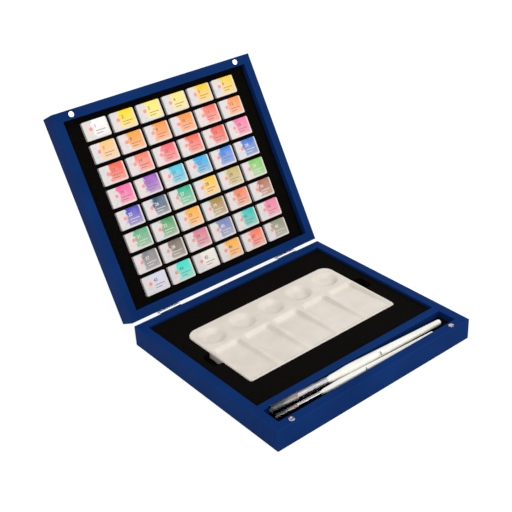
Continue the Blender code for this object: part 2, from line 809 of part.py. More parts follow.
def hair_tuft(brush, finish, parent):
    """One closed body: a round root whose end is divided into triangles, each of which is
    drawn out as a pointed hair. All hairs keep their share of the tuft's radius."""
    chance = random.Random(brush.hair_rings)
    root_radius = brush.ferrule_radius - brush.ferrule_wall - SEAM
    shape = bmesh.new()
    bmesh.ops.create_circle(
        shape, cap_ends=True, cap_tris=True, segments=TUFT_SIDES, radius=root_radius
    )
    bmesh.ops.subdivide_edges(
        shape, edges=shape.edges, cuts=brush.hair_rings - 1, use_grid_fill=True
    )
    bmesh.ops.triangulate(shape, faces=shape.faces)
    root = shape.faces[:]
    half_side = math.pi / TUFT_SIDES
    for corner in shape.verts:
        from_side = (math.atan2(corner.co.y, corner.co.x) + half_side) % (2 * half_side) - half_side
        corner.co *= math.cos(from_side) / math.cos(half_side)
    drawn = bmesh.ops.extrude_face_region(shape, geom=shape.faces[:], use_keep_orig=True)
    faces = [item for item in drawn["geom"] if isinstance(item, bmesh.types.BMFace)]
    moved = [item for item in drawn["geom"] if isinstance(item, bmesh.types.BMVert)]
    bmesh.ops.translate(shape, verts=moved, vec=(0, 0, HAIR_ROOT))
    bmesh.ops.dissolve_faces(shape, faces=root)
    bmesh.ops.recalc_face_normals(shape, faces=shape.faces)
    gap = root_radius / brush.hair_rings * HAIR_GAP_SHARE
    bmesh.ops.inset_individual(shape, faces=faces, thickness=gap)
    hairs = bmesh.ops.extrude_discrete_faces(shape, faces=faces)["faces"]
    free_length = brush.hair_length + HAIR_ROOT_RECESS
    belly = free_length * HAIR_BELLY_LENGTH_SHARE
    for hair in hairs:
        middle = hair.calc_center_median()
        from_axis_share = math.hypot(middle.x, middle.y) / root_radius
        length_share = 1 - (1 - HAIR_EDGE_LENGTH_SHARE) * from_axis_share
        length_share -= chance.random() * HAIR_SPREAD_LENGTH_SHARE
        along_share = (free_length * length_share - belly) / (free_length - belly)
        tip_share = HAIR_BELLY_RADIUS_SHARE
        tip_share += (HAIR_TIP_RADIUS_SHARE - HAIR_BELLY_RADIUS_SHARE) * along_share
        for corner in hair.verts:
            corner.co.x *= HAIR_BELLY_RADIUS_SHARE
            corner.co.y *= HAIR_BELLY_RADIUS_SHARE
            corner.co.z = HAIR_ROOT + belly
        tip = bmesh.ops.poke(shape, faces=[hair])["verts"][0]
        tip.co = (middle.x * tip_share, middle.y * tip_share, HAIR_ROOT + free_length * length_share)
    mesh = bpy.data.meshes.new(brush.name + "_hair")
    shape.to_mesh(mesh)
    shape.free()
    root_bottom = HAIR_ROOT_RECESS + HAIR_ROOT
    facing_away = (math.radians(180), 0, 0)
    return add_object(mesh.name, mesh, (0, 0, root_bottom), facing_away, parent, finish)


def build_brush(brush, cap_y, butt_y, finishes):
    """A brush lying on its belly and its butt, so that its hair is a little raised.
    Its frame's Z runs from the ferrule's mouth to the butt."""
    skew = math.asin((butt_y - cap_y) / (brush.cap_end + brush.length))
    fall = brush.belly_radius - brush.butt_radius
    tilt = math.asin(fall / (brush.length - brush.butt_radius - brush.belly_station))
    along = Vector((math.cos(skew), math.sin(skew), -math.tan(tilt)))
    cap_x = -INNER_WIDTH / 2 + brush.cap_to_end_wall
    belly_height = BED_TOP + SEAM + brush.belly_radius
    mouth_height = belly_height + math.tan(tilt) * brush.belly_station
    mouth = Vector((cap_x, cap_y, 0)) + along * brush.cap_end
    mouth.z = mouth_height
    frame = bpy.data.objects.new(brush.name + "_axis", None)
    frame.location = mouth
    frame.rotation_euler = (0, math.radians(90) + tilt, skew)
    PIECES.objects.link(frame)
    turned(f"{brush.name}_handle", handle_profile(brush), finishes["handle"], frame)
    turned(f"{brush.name}_ferrule", ferrule_profile(brush), finishes["ferrule"], frame, closed=True)
    hair_tuft(brush, finishes["hair"], frame)
    cap_bore = brush.cap_radius - brush.cap_wall
    cap_top = brush.ferrule_length - brush.cap_to_handle
    tube = [
        (brush.cap_radius, cap_top),
        (brush.cap_radius, -brush.cap_end),
        (cap_bore, -brush.cap_end),
        (cap_bore, cap_top),
    ]
    turned(f"{brush.name}_cap", tube, finishes["cap"], frame, closed=True)


def build_brushes():
    finishes = {
        "handle": material("pearl_lacquer", "#EFEDE4", 0.25),
        "ferrule": material("chromed_ferrule", "#E8E8E8", 0.15, 1.0),
        "hair": material("brush_hair", "#C79C84", 0.6),
        "cap": material("clear_plastic", "#C9CEDA", 0.1),
    }
    large_cap_y = DIVIDER_FRONT - SEAM - LARGE_BRUSH.cap_radius
    small_cap_y = large_cap_y - LARGE_BRUSH.cap_radius - CAP_GAP - SMALL_BRUSH.cap_radius
    small_butt_y = FRONT_WALL_INSIDE + BUTT_TO_FRONT_WALL + SMALL_BRUSH.butt_radius
    large_butt_y = small_butt_y + SMALL_BRUSH.butt_radius + BUTT_GAP + LARGE_BRUSH.butt_radius
    build_brush(LARGE_BRUSH, large_cap_y, large_butt_y, finishes)
    build_brush(SMALL_BRUSH, small_cap_y, small_butt_y, finishes)


def build():
    paint = material("navy_paint", "#15306A", 0.4)
    foam = material("black_foam", "#0E0D0A", 0.9)
    magnet = material("magnet_nickel", "#B9BCC4", 0.3, 1.0)
    steel = material("hinge_steel", "#C4C6CC", 0.3, 1.0)
    glaze = material("white_glaze", "#E6DFD5", 0.2)
    row_colours = (
        "#F3D77A", "#EE8F3A", "#D8414A", "#A04FA8", "#4A6BB0", "#8A7A35", "#9A8284", "#BFB6A0",
    )
    papers = [
        material(f"pan_papers_{number + 1}", colour, 0.6)
        for number, colour in enumerate(row_colours)
    ]
    axis = bpy.data.objects.new("lid_axis", None)
    axis.location = (0, AXIS_Y, AXIS_Z)
    axis.rotation_euler = (-LID_OPEN, 0, 0)
    PIECES.objects.link(axis)
    base_walls = build_base(paint, foam, magnet)
    build_palette(glaze)
    build_brushes()
    lid_walls = build_lid(axis, paint, foam, magnet)
    build_pan_rows(axis, papers)
    build_hinges(axis, base_walls, lid_walls, steel)


clear_scene()
PIECES = new_collection("wooden_watercolor_box")
CUTTERS = new_collection("cutters")
build()
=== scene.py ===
"""Looks of the wooden watercolor box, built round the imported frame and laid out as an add-on.

Lengths are metres. Base pieces are modelled where they stand. Lid pieces are modelled closed, in
the lid's own frame on the hinge axis, and then swung open. A brush is modelled along +Z, with its
origin at the ferrule's mouth, and then laid where the frame has it.
"""

import json
import math
import random

import bmesh
import bpy
from bpy.props import FloatProperty, FloatVectorProperty, IntProperty, PointerProperty
from mathutils import Matrix, Vector


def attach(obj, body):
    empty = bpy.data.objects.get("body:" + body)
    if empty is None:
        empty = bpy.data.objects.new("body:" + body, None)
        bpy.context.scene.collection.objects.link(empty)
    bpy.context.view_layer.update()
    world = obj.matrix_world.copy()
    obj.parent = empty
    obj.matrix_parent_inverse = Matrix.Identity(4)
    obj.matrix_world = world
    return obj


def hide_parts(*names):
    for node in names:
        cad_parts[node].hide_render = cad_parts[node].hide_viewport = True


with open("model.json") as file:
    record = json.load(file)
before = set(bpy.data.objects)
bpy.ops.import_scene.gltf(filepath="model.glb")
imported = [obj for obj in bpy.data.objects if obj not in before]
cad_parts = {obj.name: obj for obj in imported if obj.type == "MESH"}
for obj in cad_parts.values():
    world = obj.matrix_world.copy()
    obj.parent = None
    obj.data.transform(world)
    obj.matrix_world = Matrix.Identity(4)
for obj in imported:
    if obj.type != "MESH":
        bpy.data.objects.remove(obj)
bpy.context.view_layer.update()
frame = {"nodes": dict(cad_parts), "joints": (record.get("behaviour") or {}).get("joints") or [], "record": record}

bl_info = {
    "name": "Wooden Watercolor Box",
    "version": (1, 0, 0),
    "blender": (4, 5, 0),
    "location": "View3D > Sidebar > Watercolor Box",
    "description": "Dresses the framed watercolor box: painted case, foam, palette, pans, brushes",
    "category": "Object",
}

MM = 0.001


# Places read from the frame

def joint(name):
    return next(j for j in frame["joints"] if j["name"] == name)


HINGE_AXIS = Vector(joint("lid_hinge")["pos_m"])
LID_OPEN = math.radians(-joint("lid_hinge")["range_deg"][0])
LID_PLACE = Matrix.Translation(HINGE_AXIS) @ Matrix.Rotation(-LID_OPEN, 4, "X")
STANDING = Matrix.Identity(4)


def corners_of(nodes, place=STANDING):
    """Lowest and highest corner of some CAD nodes, seen from a place's own axes."""
    to_local = place.inverted()
    points = [to_local @ v.co for n in nodes for v in frame["nodes"][n].data.vertices]
    low = Vector([min(p[i] for p in points) for i in range(3)])
    high = Vector([max(p[i] for p in points) for i in range(3)])
    return low, high


def brush_place(brush):
    """A brush's own axes: Z from the ferrule's mouth to the butt, X level."""
    along = -Vector(joint(brush + "_cap_slide")["axis"]).normalized()
    ferrule = frame["nodes"][brush + "_ferrule"].data.vertices
    points = {tuple(round(c, 6) for c in v.co) for v in ferrule}
    centre = sum((Vector(p) for p in points), Vector()) / len(points)
    mouth = centre + along * (min(along.dot(Vector(p)) for p in points) - along.dot(centre))
    level = along.cross(Vector((0, 0, 1))).normalized()
    axes = Matrix((level, along.cross(level), along)).transposed()
    return Matrix.Translation(mouth) @ axes.to_4x4()


BASE_WALLS = ("base_front_wall", "base_back_wall", "base_left_wall", "base_right_wall")
LID_WALLS = ("lid_front_wall", "lid_back_wall", "lid_left_wall", "lid_right_wall")
BASE_LOW, BASE_HIGH = corners_of(BASE_WALLS)
LID_LOW, LID_HIGH = corners_of(LID_WALLS, LID_PLACE)
DIVIDER_LOW, DIVIDER_HIGH = corners_of(["base_divider"])
FLOOR_TOP = corners_of(["base_floor"])[1].z
LID_PANEL_LOW = corners_of(["lid_panel"], LID_PLACE)[0].z
WALL = corners_of(["base_left_wall"])[1].x - BASE_LOW.x


# Shared properties

def number(name, description, default, **kind):
    return FloatProperty(name=name, description=description, default=default, **kind)


def length(name, description, default):
    return number(name, description, default, unit="LENGTH")


def colour(name, description, default):
    """A colour written as sRGB hex."""
    return FloatVectorProperty(
        name=name, description=description, default=srgb(default), size=4, subtype="COLOR", max=1, min=0
    )


def settings_of(group):
    """The panel's values for one group of pieces."""
    return getattr(bpy.context.scene.watercolor_box, group)


def srgb(hex_colour):
    """A linear RGBA colour from an sRGB hex string."""
    channels = [int(hex_colour[i:i + 2], 16) / 255 for i in (1, 3, 5)]
    return [c / 12.92 if c <= 0.04045 else ((c + 0.055) / 1.055) ** 2.4 for c in channels] + [1]


# Materials

def new_material(name):
    """A node material with one Principled shader."""
    made = bpy.data.materials.new(name)
    made.use_nodes = True
    return made, made.node_tree.nodes["Principled BSDF"]


def add_node(material, kind, inputs=None, **settings):
    """Adds one node with its settings. An input is a value or another node's output."""
    made = material.node_tree.nodes.new(kind)
    for name, value in settings.items():
        setattr(made, name, value)
    for key, value in (inputs or {}).items():
        if isinstance(value, bpy.types.NodeSocket):
            material.node_tree.links.new(value, made.inputs[key])
        else:
            made.inputs[key].default_value = value
    return made


def set_values(shader, values):
    for name, value in values.items():
        shader.inputs[name].default_value = value


def link(material, output, shader, name):
    material.node_tree.links.new(output, shader.inputs[name])


def object_position(material):
    return add_node(material, "ShaderNodeTexCoord").outputs["Object"]


def stretched(material, position, scale):
    """A position scaled along each axis, so that a pattern is drawn out along the short ones."""
    mapping = add_node(material, "ShaderNodeMapping", {"Vector": position, "Scale": scale})
    return mapping.outputs["Vector"]


def noise_of(material, position, per_metre, detail=3.0, roughness=0.5):
    settings = {"Vector": position, "Scale": per_metre, "Detail": detail, "Roughness": roughness}
    return add_node(material, "ShaderNodeTexNoise", settings).outputs["Fac"]


def ramp(material, factor, stops):
    """A colour ramp through (place, colour) stops."""
    made = add_node(material, "ShaderNodeValToRGB", {"Fac": factor})
    elements = made.color_ramp.elements
    while len(elements) < len(stops):
        elements.new(0.5)
    for element, (place, rgba) in zip(elements, stops):
        element.position = place
        element.color = rgba
    return made.outputs["Color"]


def mixed(material, factor, first, second, blend="MIX"):
    """A colour between two others. Each is a colour or an output."""
    made = add_node(material, "ShaderNodeMix", data_type="RGBA", blend_type=blend)
    for socket, value in ((0, factor), (6, first), (7, second)):
        if isinstance(value, bpy.types.NodeSocket):
            material.node_tree.links.new(value, made.inputs[socket])
        else:
            made.inputs[socket].default_value = value
    return made.outputs[2]


def calculate(material, operation, first, second=0.0, third=0.0, clamp=False):
    inputs = {0: first, 1: second, 2: third}
    made = add_node(material, "ShaderNodeMath", inputs, operation=operation, use_clamp=clamp)
    return made.outputs["Value"]


def smooth_step(material, value, low, high):
    """Rises from 0 at low to 1 at high."""
    inputs = {"Value": value, "From Min": low, "From Max": high}
    made = add_node(material, "ShaderNodeMapRange", inputs, interpolation_type="SMOOTHSTEP")
    return made.outputs["Result"]


def bumped(material, shader, height, depth, strength=1.0):
    inputs = {"Height": height, "Distance": depth, "Strength": strength}
    bump = add_node(material, "ShaderNodeBump", inputs)
    link(material, bump.outputs["Normal"], shader, "Normal")


def painted_wood(name, paint, settings):
    """Close-grained wood sprayed with satin paint: even colour, soft gloss, and a trace of the
    grain and of the spray's fine orange peel in the surface."""
    made, shader = new_material(name)
    position = object_position(made)
    clouds = noise_of(made, position, 1 / (60 * MM))
    darker = [c * 0.86 for c in paint[:3]] + [1]
    lighter = [min(1, c * 1.12) for c in paint[:3]] + [1]
    link(made, ramp(made, clouds, ((0.3, darker), (0.7, lighter))), shader, "Base Color")
    grain = noise_of(made, stretched(made, position, (0.08, 1, 1)), 1 / (0.9 * MM), 4)
    peel = noise_of(made, position, 1 / (1.6 * MM), 2)
    height = calculate(made, "MULTIPLY_ADD", grain, 0.6, peel)
    bumped(made, shader, height, settings.texture_depth)
    set_values(shader, {"Roughness": settings.roughness, "Specular IOR Level": settings.specular})
    return made


def black_foam():
    """Closed-cell polyethylene foam, die-cut: dead matte and near black, pocked with fine cells.
    They are drawn a little coarser than the real ones so that they show."""
    made, shader = new_material("die_cut_polyethylene_foam")
    position = object_position(made)
    settings = settings_of("foam")
    cells = add_node(
        made, "ShaderNodeTexVoronoi", {"Vector": position, "Scale": 1 / settings.cell_size}
    ).outputs["Distance"]
    dust = noise_of(made, position, 1 / (2.2 * MM), 4, 0.65)
    tone = ramp(
        made,
        dust,
        ((0.35, settings.dark_colour), (0.62, settings.base_colour), (0.8, settings.dust_colour)),
    )
    link(made, tone, shader, "Base Color")
    height = calculate(made, "MULTIPLY_ADD", dust, 0.5, cells)
    bumped(made, shader, height, 0.25 * MM)
    set_values(shader, {"Roughness": 0.95, "Specular IOR Level": 0.04})
    return made


def glazed_porcelain():
    """White porcelain under a clear glaze: warm white, glossy, faintly clouded, with a slow
    ripple where the glaze pooled."""
    made, shader = new_material("glazed_porcelain")
    settings = settings_of("palette")
    position = object_position(made)
    clouds = noise_of(made, position, 1 / (18 * MM), 2)
    tint = ramp(made, clouds, ((0.35, settings.shade_colour), (0.65, settings.glaze_colour)))
    link(made, tint, shader, "Base Color")
    ripple = noise_of(made, position, 1 / (7 * MM), 1)
    bumped(made, shader, ripple, 0.12 * MM)
    values = {
        "Roughness": 0.32,
        "IOR": 1.5,
        "Specular IOR Level": 0.35,
        "Coat Weight": 0.25,
        "Coat Roughness": 0.12,
    }
    set_values(shader, values)
    return made


def metal(name, hex_colour, roughness, brushed=0.0, smudge_and_shade_hex=None):
    """A plated metal. brushed is the depth of fine scratches that run along X. The hex colour after it marks
    dull smudges on the plating, and is dark enough to paint shade on them as well."""
    made, shader = new_material(name)
    position = object_position(made)
    smudge = noise_of(made, position, 1 / (3 * MM), 3)
    low, high = roughness * 0.8, roughness * 1.25
    spread = {"Value": smudge, "To Min": low, "To Max": high}
    dull = add_node(made, "ShaderNodeMapRange", spread).outputs["Result"]
    link(made, dull, shader, "Roughness")
    set_values(shader, {"Base Color": srgb(hex_colour), "Metallic": 1.0})
    # Smudges take the darker colour: dull plating, and painted shade on the plating as well.
    if smudge_and_shade_hex:
        stops = ((0.42, srgb(smudge_and_shade_hex)), (0.6, srgb(hex_colour)))
        link(made, ramp(made, smudge, stops), shader, "Base Color")
    if brushed:
        lines = noise_of(made, stretched(made, position, (0.05, 1, 1)), 1 / (0.15 * MM), 2)
        bumped(made, shader, lines, brushed)
    return made


def pearl_lacquer():
    """Birch under pearl lacquer: creamy white with a clear coat, and a thin film that turns the
    gloss faintly green and pink."""
    made, shader = new_material("pearl_lacquered_birch")
    settings = settings_of("brushes")
    position = object_position(made)
    clouds = noise_of(made, stretched(made, position, (0.3, 1, 1)), 1 / (5 * MM), 2)
    tint = ramp(made, clouds, ((0.3, settings.pearl_shade), (0.7, settings.pearl_colour)))
    link(made, tint, shader, "Base Color")
    values = {
        "Roughness": 0.3,
        "Coat Weight": 0.8,
        "Coat Roughness": 0.08,
        "Thin Film Thickness": 380.0,
        "Thin Film IOR": 1.45,
    }
    set_values(shader, values)
    return made


def brush_hair():
    """Soft natural hair: tan at the root, greying to pale tips, each hair a little lighter or
    darker than the next. The UV map holds a hair's tone and the place along it."""
    made, shader = new_material("natural_brush_hair")
    settings = settings_of("brushes")
    uv = add_node(made, "ShaderNodeUVMap", uv_map="hair").outputs["UV"]
    parts = add_node(made, "ShaderNodeSeparateXYZ", {"Vector": uv})
    stops = ((0.0, settings.hair_root), (0.45, settings.hair_middle), (1.0, settings.hair_tip))
    along = ramp(made, parts.outputs["Y"], stops)
    tone = calculate(made, "MULTIPLY_ADD", parts.outputs["X"], 0.5, 0.6)
    shade = add_node(made, "ShaderNodeCombineColor", {"Red": tone, "Green": tone, "Blue": tone})
    toned = mixed(made, 1.0, along, shade.outputs["Color"], "MULTIPLY")
    link(made, toned, shader, "Base Color")
    set_values(shader, {"Roughness": 0.45, "Sheen Weight": 0.3})
    return made


def clear_plastic():
    """Extruded clear acetate tube: thin, glossy, with faint drawn lines along it."""
    made, shader = new_material("clear_acetate_tube")
    position = object_position(made)
    lines = noise_of(made, stretched(made, position, (0.04, 1, 1)), 1 / (0.8 * MM), 1)
    bumped(made, shader, lines, 0.001 * MM)
    values = {
        "Base Color": settings_of("brushes").cap_colour,
        "Roughness": 0.03,
        "IOR": 1.48,
        "Transmission Weight": settings_of("brushes").cap_clearness,
    }
    set_values(shader, values)
    return made


def wrapper_paper():
    """Coated white wrapper, offset printed: a wash of the pan's own colour that fades towards
    the bottom, and pale cool and pink blotches at the left. The UV map is in shares of the
    label, and lies below zero on the bare sides."""
    made, shader = new_material("offset_printed_wrapper_paper")
    settings = settings_of("pans")
    position = object_position(made)
    uv = add_node(made, "ShaderNodeUVMap", uv_map="label").outputs["UV"]
    parts = add_node(made, "ShaderNodeSeparateXYZ", {"Vector": uv})
    across, up = parts.outputs["X"], parts.outputs["Y"]
    wash = add_node(made, "ShaderNodeAttribute", attribute_name="wash").outputs["Color"]
    blot = noise_of(made, position, 1 / (5 * MM), 3, 0.6)
    start = calculate(made, "MULTIPLY_ADD", blot, 0.5, settings.wash_start - 0.25)
    inside = calculate(made, "SUBTRACT", across, start)
    left = smooth_step(made, inside, -0.04, 0.07)
    right = smooth_step(made, across, 0.97, 0.91)
    bottom = smooth_step(made, up, 0.04, 0.15)
    body = calculate(made, "MULTIPLY", left, right)
    body = calculate(made, "MULTIPLY", body, bottom)
    cloud = noise_of(made, position, 1 / (9 * MM), 2)
    fade = calculate(made, "MULTIPLY_ADD", up, 0.45, 0.45)
    fade = calculate(made, "MULTIPLY_ADD", cloud, 0.4, fade)
    fade = calculate(made, "SUBTRACT", fade, 0.1, clamp=True)
    strength = calculate(made, "MULTIPLY", body, fade)
    cool_area = smooth_step(made, noise_of(made, position, 1 / (4 * MM), 2), 0.42, 0.7)
    warm_area = smooth_step(made, noise_of(made, position, 1 / (3 * MM), 1), 0.5, 0.72)
    margin = smooth_step(made, across, 0.5, 0.36)
    cool_area = calculate(made, "MULTIPLY", cool_area, margin)
    warm_area = calculate(made, "MULTIPLY", warm_area, margin)
    paper = mixed(made, cool_area, settings.paper_colour, settings.cool_tint)
    paper = mixed(made, warm_area, paper, settings.warm_tint)
    printed = mixed(made, strength, paper, wash)
    link(made, printed, shader, "Base Color")
    fibre = noise_of(made, position, 1 / (0.5 * MM), 2)
    bumped(made, shader, fibre, 0.02 * MM)
    set_values(shader, {"Roughness": 0.5, "Specular IOR Level": 0.3})
    return made


def printing_ink():
    """Offset ink, matte. Its colour is the face's own."""
    made, shader = new_material("offset_printing_ink")
    ink = add_node(made, "ShaderNodeAttribute", attribute_name="wash").outputs["Color"]
    rub = noise_of(made, object_position(made), 1 / (1.2 * MM), 2)
    worn = calculate(made, "MULTIPLY", rub, 0.35)
    link(made, mixed(made, worn, ink, settings_of("pans").paper_colour), shader, "Base Color")
    shader.inputs["Roughness"].default_value = 0.55
    return made


def pad_printing_ink():
    """Pad-printed ink: dark, thin and matte on the lacquer."""
    made, shader = new_material("pad_printed_ink")
    rub = noise_of(made, object_position(made), 1 / (0.8 * MM), 2)
    worn = calculate(made, "MULTIPLY", rub, 0.1)
    settings = settings_of("brushes")
    link(made, mixed(made, worn, settings.mark_colour, settings.pearl_colour), shader, "Base Color")
    shader.inputs["Roughness"].default_value = 0.5
    return made


# Modelling

SHARP = math.radians(32)
MERGE_DISTANCE = 0.001 * MM

# Bodies whose pieces are round throughout, with no flat faces to keep
TURNED_BODIES = ("large_brush", "large_brush_cap", "small_brush", "small_brush_cap")


def cleaned(shape):
    """Merges doubled corners and points every face outwards."""
    bmesh.ops.remove_doubles(shape, verts=shape.verts, dist=MERGE_DISTANCE)
    bmesh.ops.recalc_face_normals(shape, faces=shape.faces)


def piece(name, shape, materials, body, replaced=(), place=STANDING):
    """Makes a finished piece of a bmesh: its place goes into its mesh, and it rides on a body."""
    bmesh.ops.transform(shape, matrix=place, verts=shape.verts)
    mesh = bpy.data.meshes.new(name)
    shape.to_mesh(mesh)
    shape.free()
    for material in materials:
        mesh.materials.append(material)
    mesh.shade_smooth()
    mesh.set_sharp_from_angle(angle=SHARP)
    made = bpy.data.objects.new(name, mesh)
    bpy.context.scene.collection.objects.link(made)
    if body not in TURNED_BODIES:
        keep_flat(made)
    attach(made, body)
    if replaced:
        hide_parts(*replaced)
    return made


def keep_flat(made):
    """Weights normals by area, so that flat faces stay flat beside their rounded edges."""
    step = made.modifiers.new("weighted", "WEIGHTED_NORMAL")
    step.keep_sharp = True
    bpy.context.view_layer.update()
    weighted = made.evaluated_get(bpy.context.evaluated_depsgraph_get())
    plain = made.data
    made.data = bpy.data.meshes.new_from_object(weighted)
    made.modifiers.clear()
    bpy.data.meshes.remove(plain)


def cuboid(low, high):
    """A bmesh box between two corners."""
    low, high = Vector(low), Vector(high)
    shape = bmesh.new()
    grow = Matrix.Translation((low + high) / 2) @ Matrix.Diagonal((*(high - low), 1))
    bmesh.ops.create_cube(shape, size=1, matrix=grow)
    return shape


def round_edges(shape, radius, segments=2, angle=math.radians(30), edge_material=-1, chosen=None):
    """Rounds every edge that is sharper than an angle, or the chosen ones."""
    edges = chosen or [e for e in shape.edges if e.calc_face_angle(0) > angle]
    bmesh.ops.bevel(
        shape,
        geom=edges,
        offset=radius,
        affect="EDGES",
        segments=segments,
        profile=0.5,
        material=edge_material,
        clamp_overlap=True,
    )


def lathe(profile, steps, closed=False):
    """A bmesh turned round Z from (radius, height) points."""
    shape = bmesh.new()
    corners = [shape.verts.new((radius, 0, height)) for radius, height in profile]
    edges = [shape.edges.new(pair) for pair in zip(corners, corners[1:])]
    if closed:
        edges.append(shape.edges.new((corners[-1], corners[0])))
    bmesh.ops.spin(
        shape,
        geom=corners + edges,
        axis=(0, 0, 1),
        cent=(0, 0, 0),
        angle=math.tau,
        steps=steps,
        use_merge=True,
    )
    cleaned(shape)
    return shape


def arc(centre, radius, start, end, steps):
    """Points on a circle from one angle to another, in degrees."""
    angles = [math.radians(start + (end - start) * i / steps) for i in range(steps + 1)]
    return [(centre[0] + radius * math.cos(a), centre[1] + radius * math.sin(a)) for a in angles]


def rounded_outline(corners, steps=6):
    """A closed outline with an arc at each (x, y, radius) corner, turning either way."""
    points = []
    for index, (x, y, radius) in enumerate(corners):
        here = Vector((x, y))
        before = (Vector(corners[index - 1][:2]) - here).normalized()
        after = (Vector(corners[(index + 1) % len(corners)][:2]) - here).normalized()
        half = before.angle(after) / 2
        reach = radius / math.tan(half)
        centre = here + (before + after).normalized() * radius / math.sin(half)
        start = here + before * reach - centre
        turn = start.angle_signed(here + after * reach - centre)
        for step in range(steps + 1):
            spun = start.copy()
            spun.rotate(Matrix.Rotation(-turn * step / steps, 2))
            points.append(tuple(centre + spun))
    return points


def box_corners(low, high, radius):
    """Corners of a rectangle, anticlockwise, each with a radius."""
    return [
        (low[0], low[1], radius),
        (high[0], low[1], radius),
        (high[0], high[1], radius),
        (low[0], high[1], radius),
    ]


def cut_sheet(outlines, bottom, top):
    """A bmesh sheet between two heights. The first outline is its edge, the others are windows."""
    curve = bpy.data.curves.new("outline", "CURVE")
    curve.dimensions = "2D"
    curve.fill_mode = "BOTH"
    curve.extrude = (top - bottom) / 2
    for outline in outlines:
        spline = curve.splines.new("POLY")
        spline.points.add(len(outline) - 1)
        for point, (x, y) in zip(spline.points, outline):
            point.co = (x, y, 0, 1)
        spline.use_cyclic_u = True
    shape = mesh_of_curve(curve)
    cleaned(shape)
    bmesh.ops.translate(shape, verts=shape.verts, vec=(0, 0, (top + bottom) / 2))
    return shape


def mesh_of_curve(curve):
    """A bmesh of a curve or a text, which is then removed."""
    drawn = bpy.data.objects.new(curve.name, curve)
    bpy.context.scene.collection.objects.link(drawn)
    bpy.context.view_layer.update()
    mesh = drawn.to_mesh()
    shape = bmesh.new()
    shape.from_mesh(mesh)
    drawn.to_mesh_clear()
    bpy.data.objects.remove(drawn, do_unlink=True)
    return shape


def scratch_object(shape):
    mesh = bpy.data.meshes.new("scratch")
    shape.to_mesh(mesh)
    shape.free()
    made = bpy.data.objects.new("scratch", mesh)
    bpy.context.scene.collection.objects.link(made)
    return made


def combined(shape, others, operation):
    """A bmesh after a Boolean with others, which are used up."""
    target = scratch_object(shape)
    cutters = [scratch_object(other) for other in others]
    for cutter in cutters:
        step = target.modifiers.new("cut", "BOOLEAN")
        step.operation = operation
        step.solver = "EXACT"
        step.object = cutter
    bpy.context.view_layer.update()
    depsgraph = bpy.context.evaluated_depsgraph_get()
    result = bmesh.new()
    result.from_mesh(target.evaluated_get(depsgraph).to_mesh())
    for leftover in [target, *cutters]:
        bpy.data.objects.remove(leftover, do_unlink=True)
    bmesh.ops.remove_doubles(result, verts=result.verts, dist=MERGE_DISTANCE)
    return result


def pushed(shape, faces, way):
    """Extrudes faces and moves them, and leaves no wall behind."""
    made = bmesh.ops.extrude_face_region(shape, geom=faces)["geom"]
    bmesh.ops.delete(shape, geom=faces, context="FACES")
    moved = [item for item in made if isinstance(item, bmesh.types.BMVert)]
    bmesh.ops.translate(shape, verts=moved, vec=way)


def rod(radius, start, end, steps=48):
    """A bmesh cylinder between two points."""
    start, end = Vector(start), Vector(end)
    shape = bmesh.new()
    turn = (end - start).to_track_quat("Z", "Y").to_matrix().to_4x4()
    bmesh.ops.create_cone(
        shape,
        cap_ends=True,
        segments=steps,
        radius1=radius,
        radius2=radius,
        depth=(end - start).length,
        matrix=Matrix.Translation((start + end) / 2) @ turn,
    )
    return shape


# Case

class CaseSettings(bpy.types.PropertyGroup):
    paint_colour: colour("Paint", "Navy paint of the case", "#0E2E66")
    # The edge colour is a touch lighter than the paint: thin worn paint, and a painted highlight along the rounded
    # edges.
    worn_and_highlit_edge_colour: colour("Edges", "Thinner paint along the edges", "#12336F")
    roughness: number("Roughness", "Of the satin paint", 0.5, subtype="FACTOR")
    specular: number("Specular", "Gloss of the paint", 0.01, subtype="FACTOR")
    edge_radius: length("Edge", "Rounding of the case's edges", 0.6 * MM)
    texture_depth: length("Texture", "Depth of grain and orange peel", 0.035 * MM)
    magnet_play: length("Magnet play", "Gap round a magnet", 0.3 * MM)
    seam_width: length("Seam", "Groove round the base's bottom panel", 0.3 * MM)
    seam_depth: length("Seam depth", "Depth of that groove", 0.5 * MM)


def tray(low, high, pockets, floor):
    """A bmesh tray: a block with straight-sided pockets, open at the top."""
    shape = cuboid(low, high)
    cuts = {(0, x) for p in pockets for x in (p[0], p[2])}
    cuts |= {(1, y) for p in pockets for y in (p[1], p[3])}
    for axis, place in sorted(cuts):
        point, normal = Vector(), Vector()
        point[axis] = place
        normal[axis] = 1
        geometry = shape.verts[:] + shape.edges[:] + shape.faces[:]
        bmesh.ops.bisect_plane(shape, geom=geometry, plane_co=point, plane_no=normal)
    sunk = []
    for face in shape.faces:
        middle = face.calc_center_median()
        inside = any(p[0] < middle.x < p[2] and p[1] < middle.y < p[3] for p in pockets)
        if face.normal.z > 0.5 and inside:
            sunk.append(face)
    pushed(shape, sunk, (0, 0, floor - high.z))
    bmesh.ops.dissolve_limit(
        shape, angle_limit=math.radians(1), verts=shape.verts, edges=shape.edges
    )
    return shape


def magnet_holes(nodes, place):
    """Cutters for the pockets that the magnets sit in, and a little below them."""
    cutters = []
    for node in nodes:
        low, high = corners_of([node], place)
        radius = (high.x - low.x) / 2 + settings_of("case").magnet_play
        middle = (low + high) / 2
        reach = Vector((0, 0, (high.z - low.z) / 2 + settings_of("case").magnet_play))
        cutters.append(rod(radius, middle - reach, middle + reach))
    return cutters


def screw_holes(nodes, place):
    """Cutters for the screws of the hinge leaves, which lie along Y."""
    cutters = []
    for node in nodes:
        low, high = corners_of([node], place)
        middle = (low + high) / 2
        radius = settings_of("hinges").shank_radius + settings_of("hinges").screw_play
        start = Vector((middle.x, low.y - settings_of("hinges").screw_play, middle.z))
        cutters.append(rod(radius, start, Vector((middle.x, high.y, middle.z)), 24))
    return cutters


def nodes_named(start):
    return sorted(n for n in frame["nodes"] if n.startswith(start))


def screws_of(part):
    return [n for n in sorted(frame["nodes"]) if f"hinge_{part}_screw" in n]


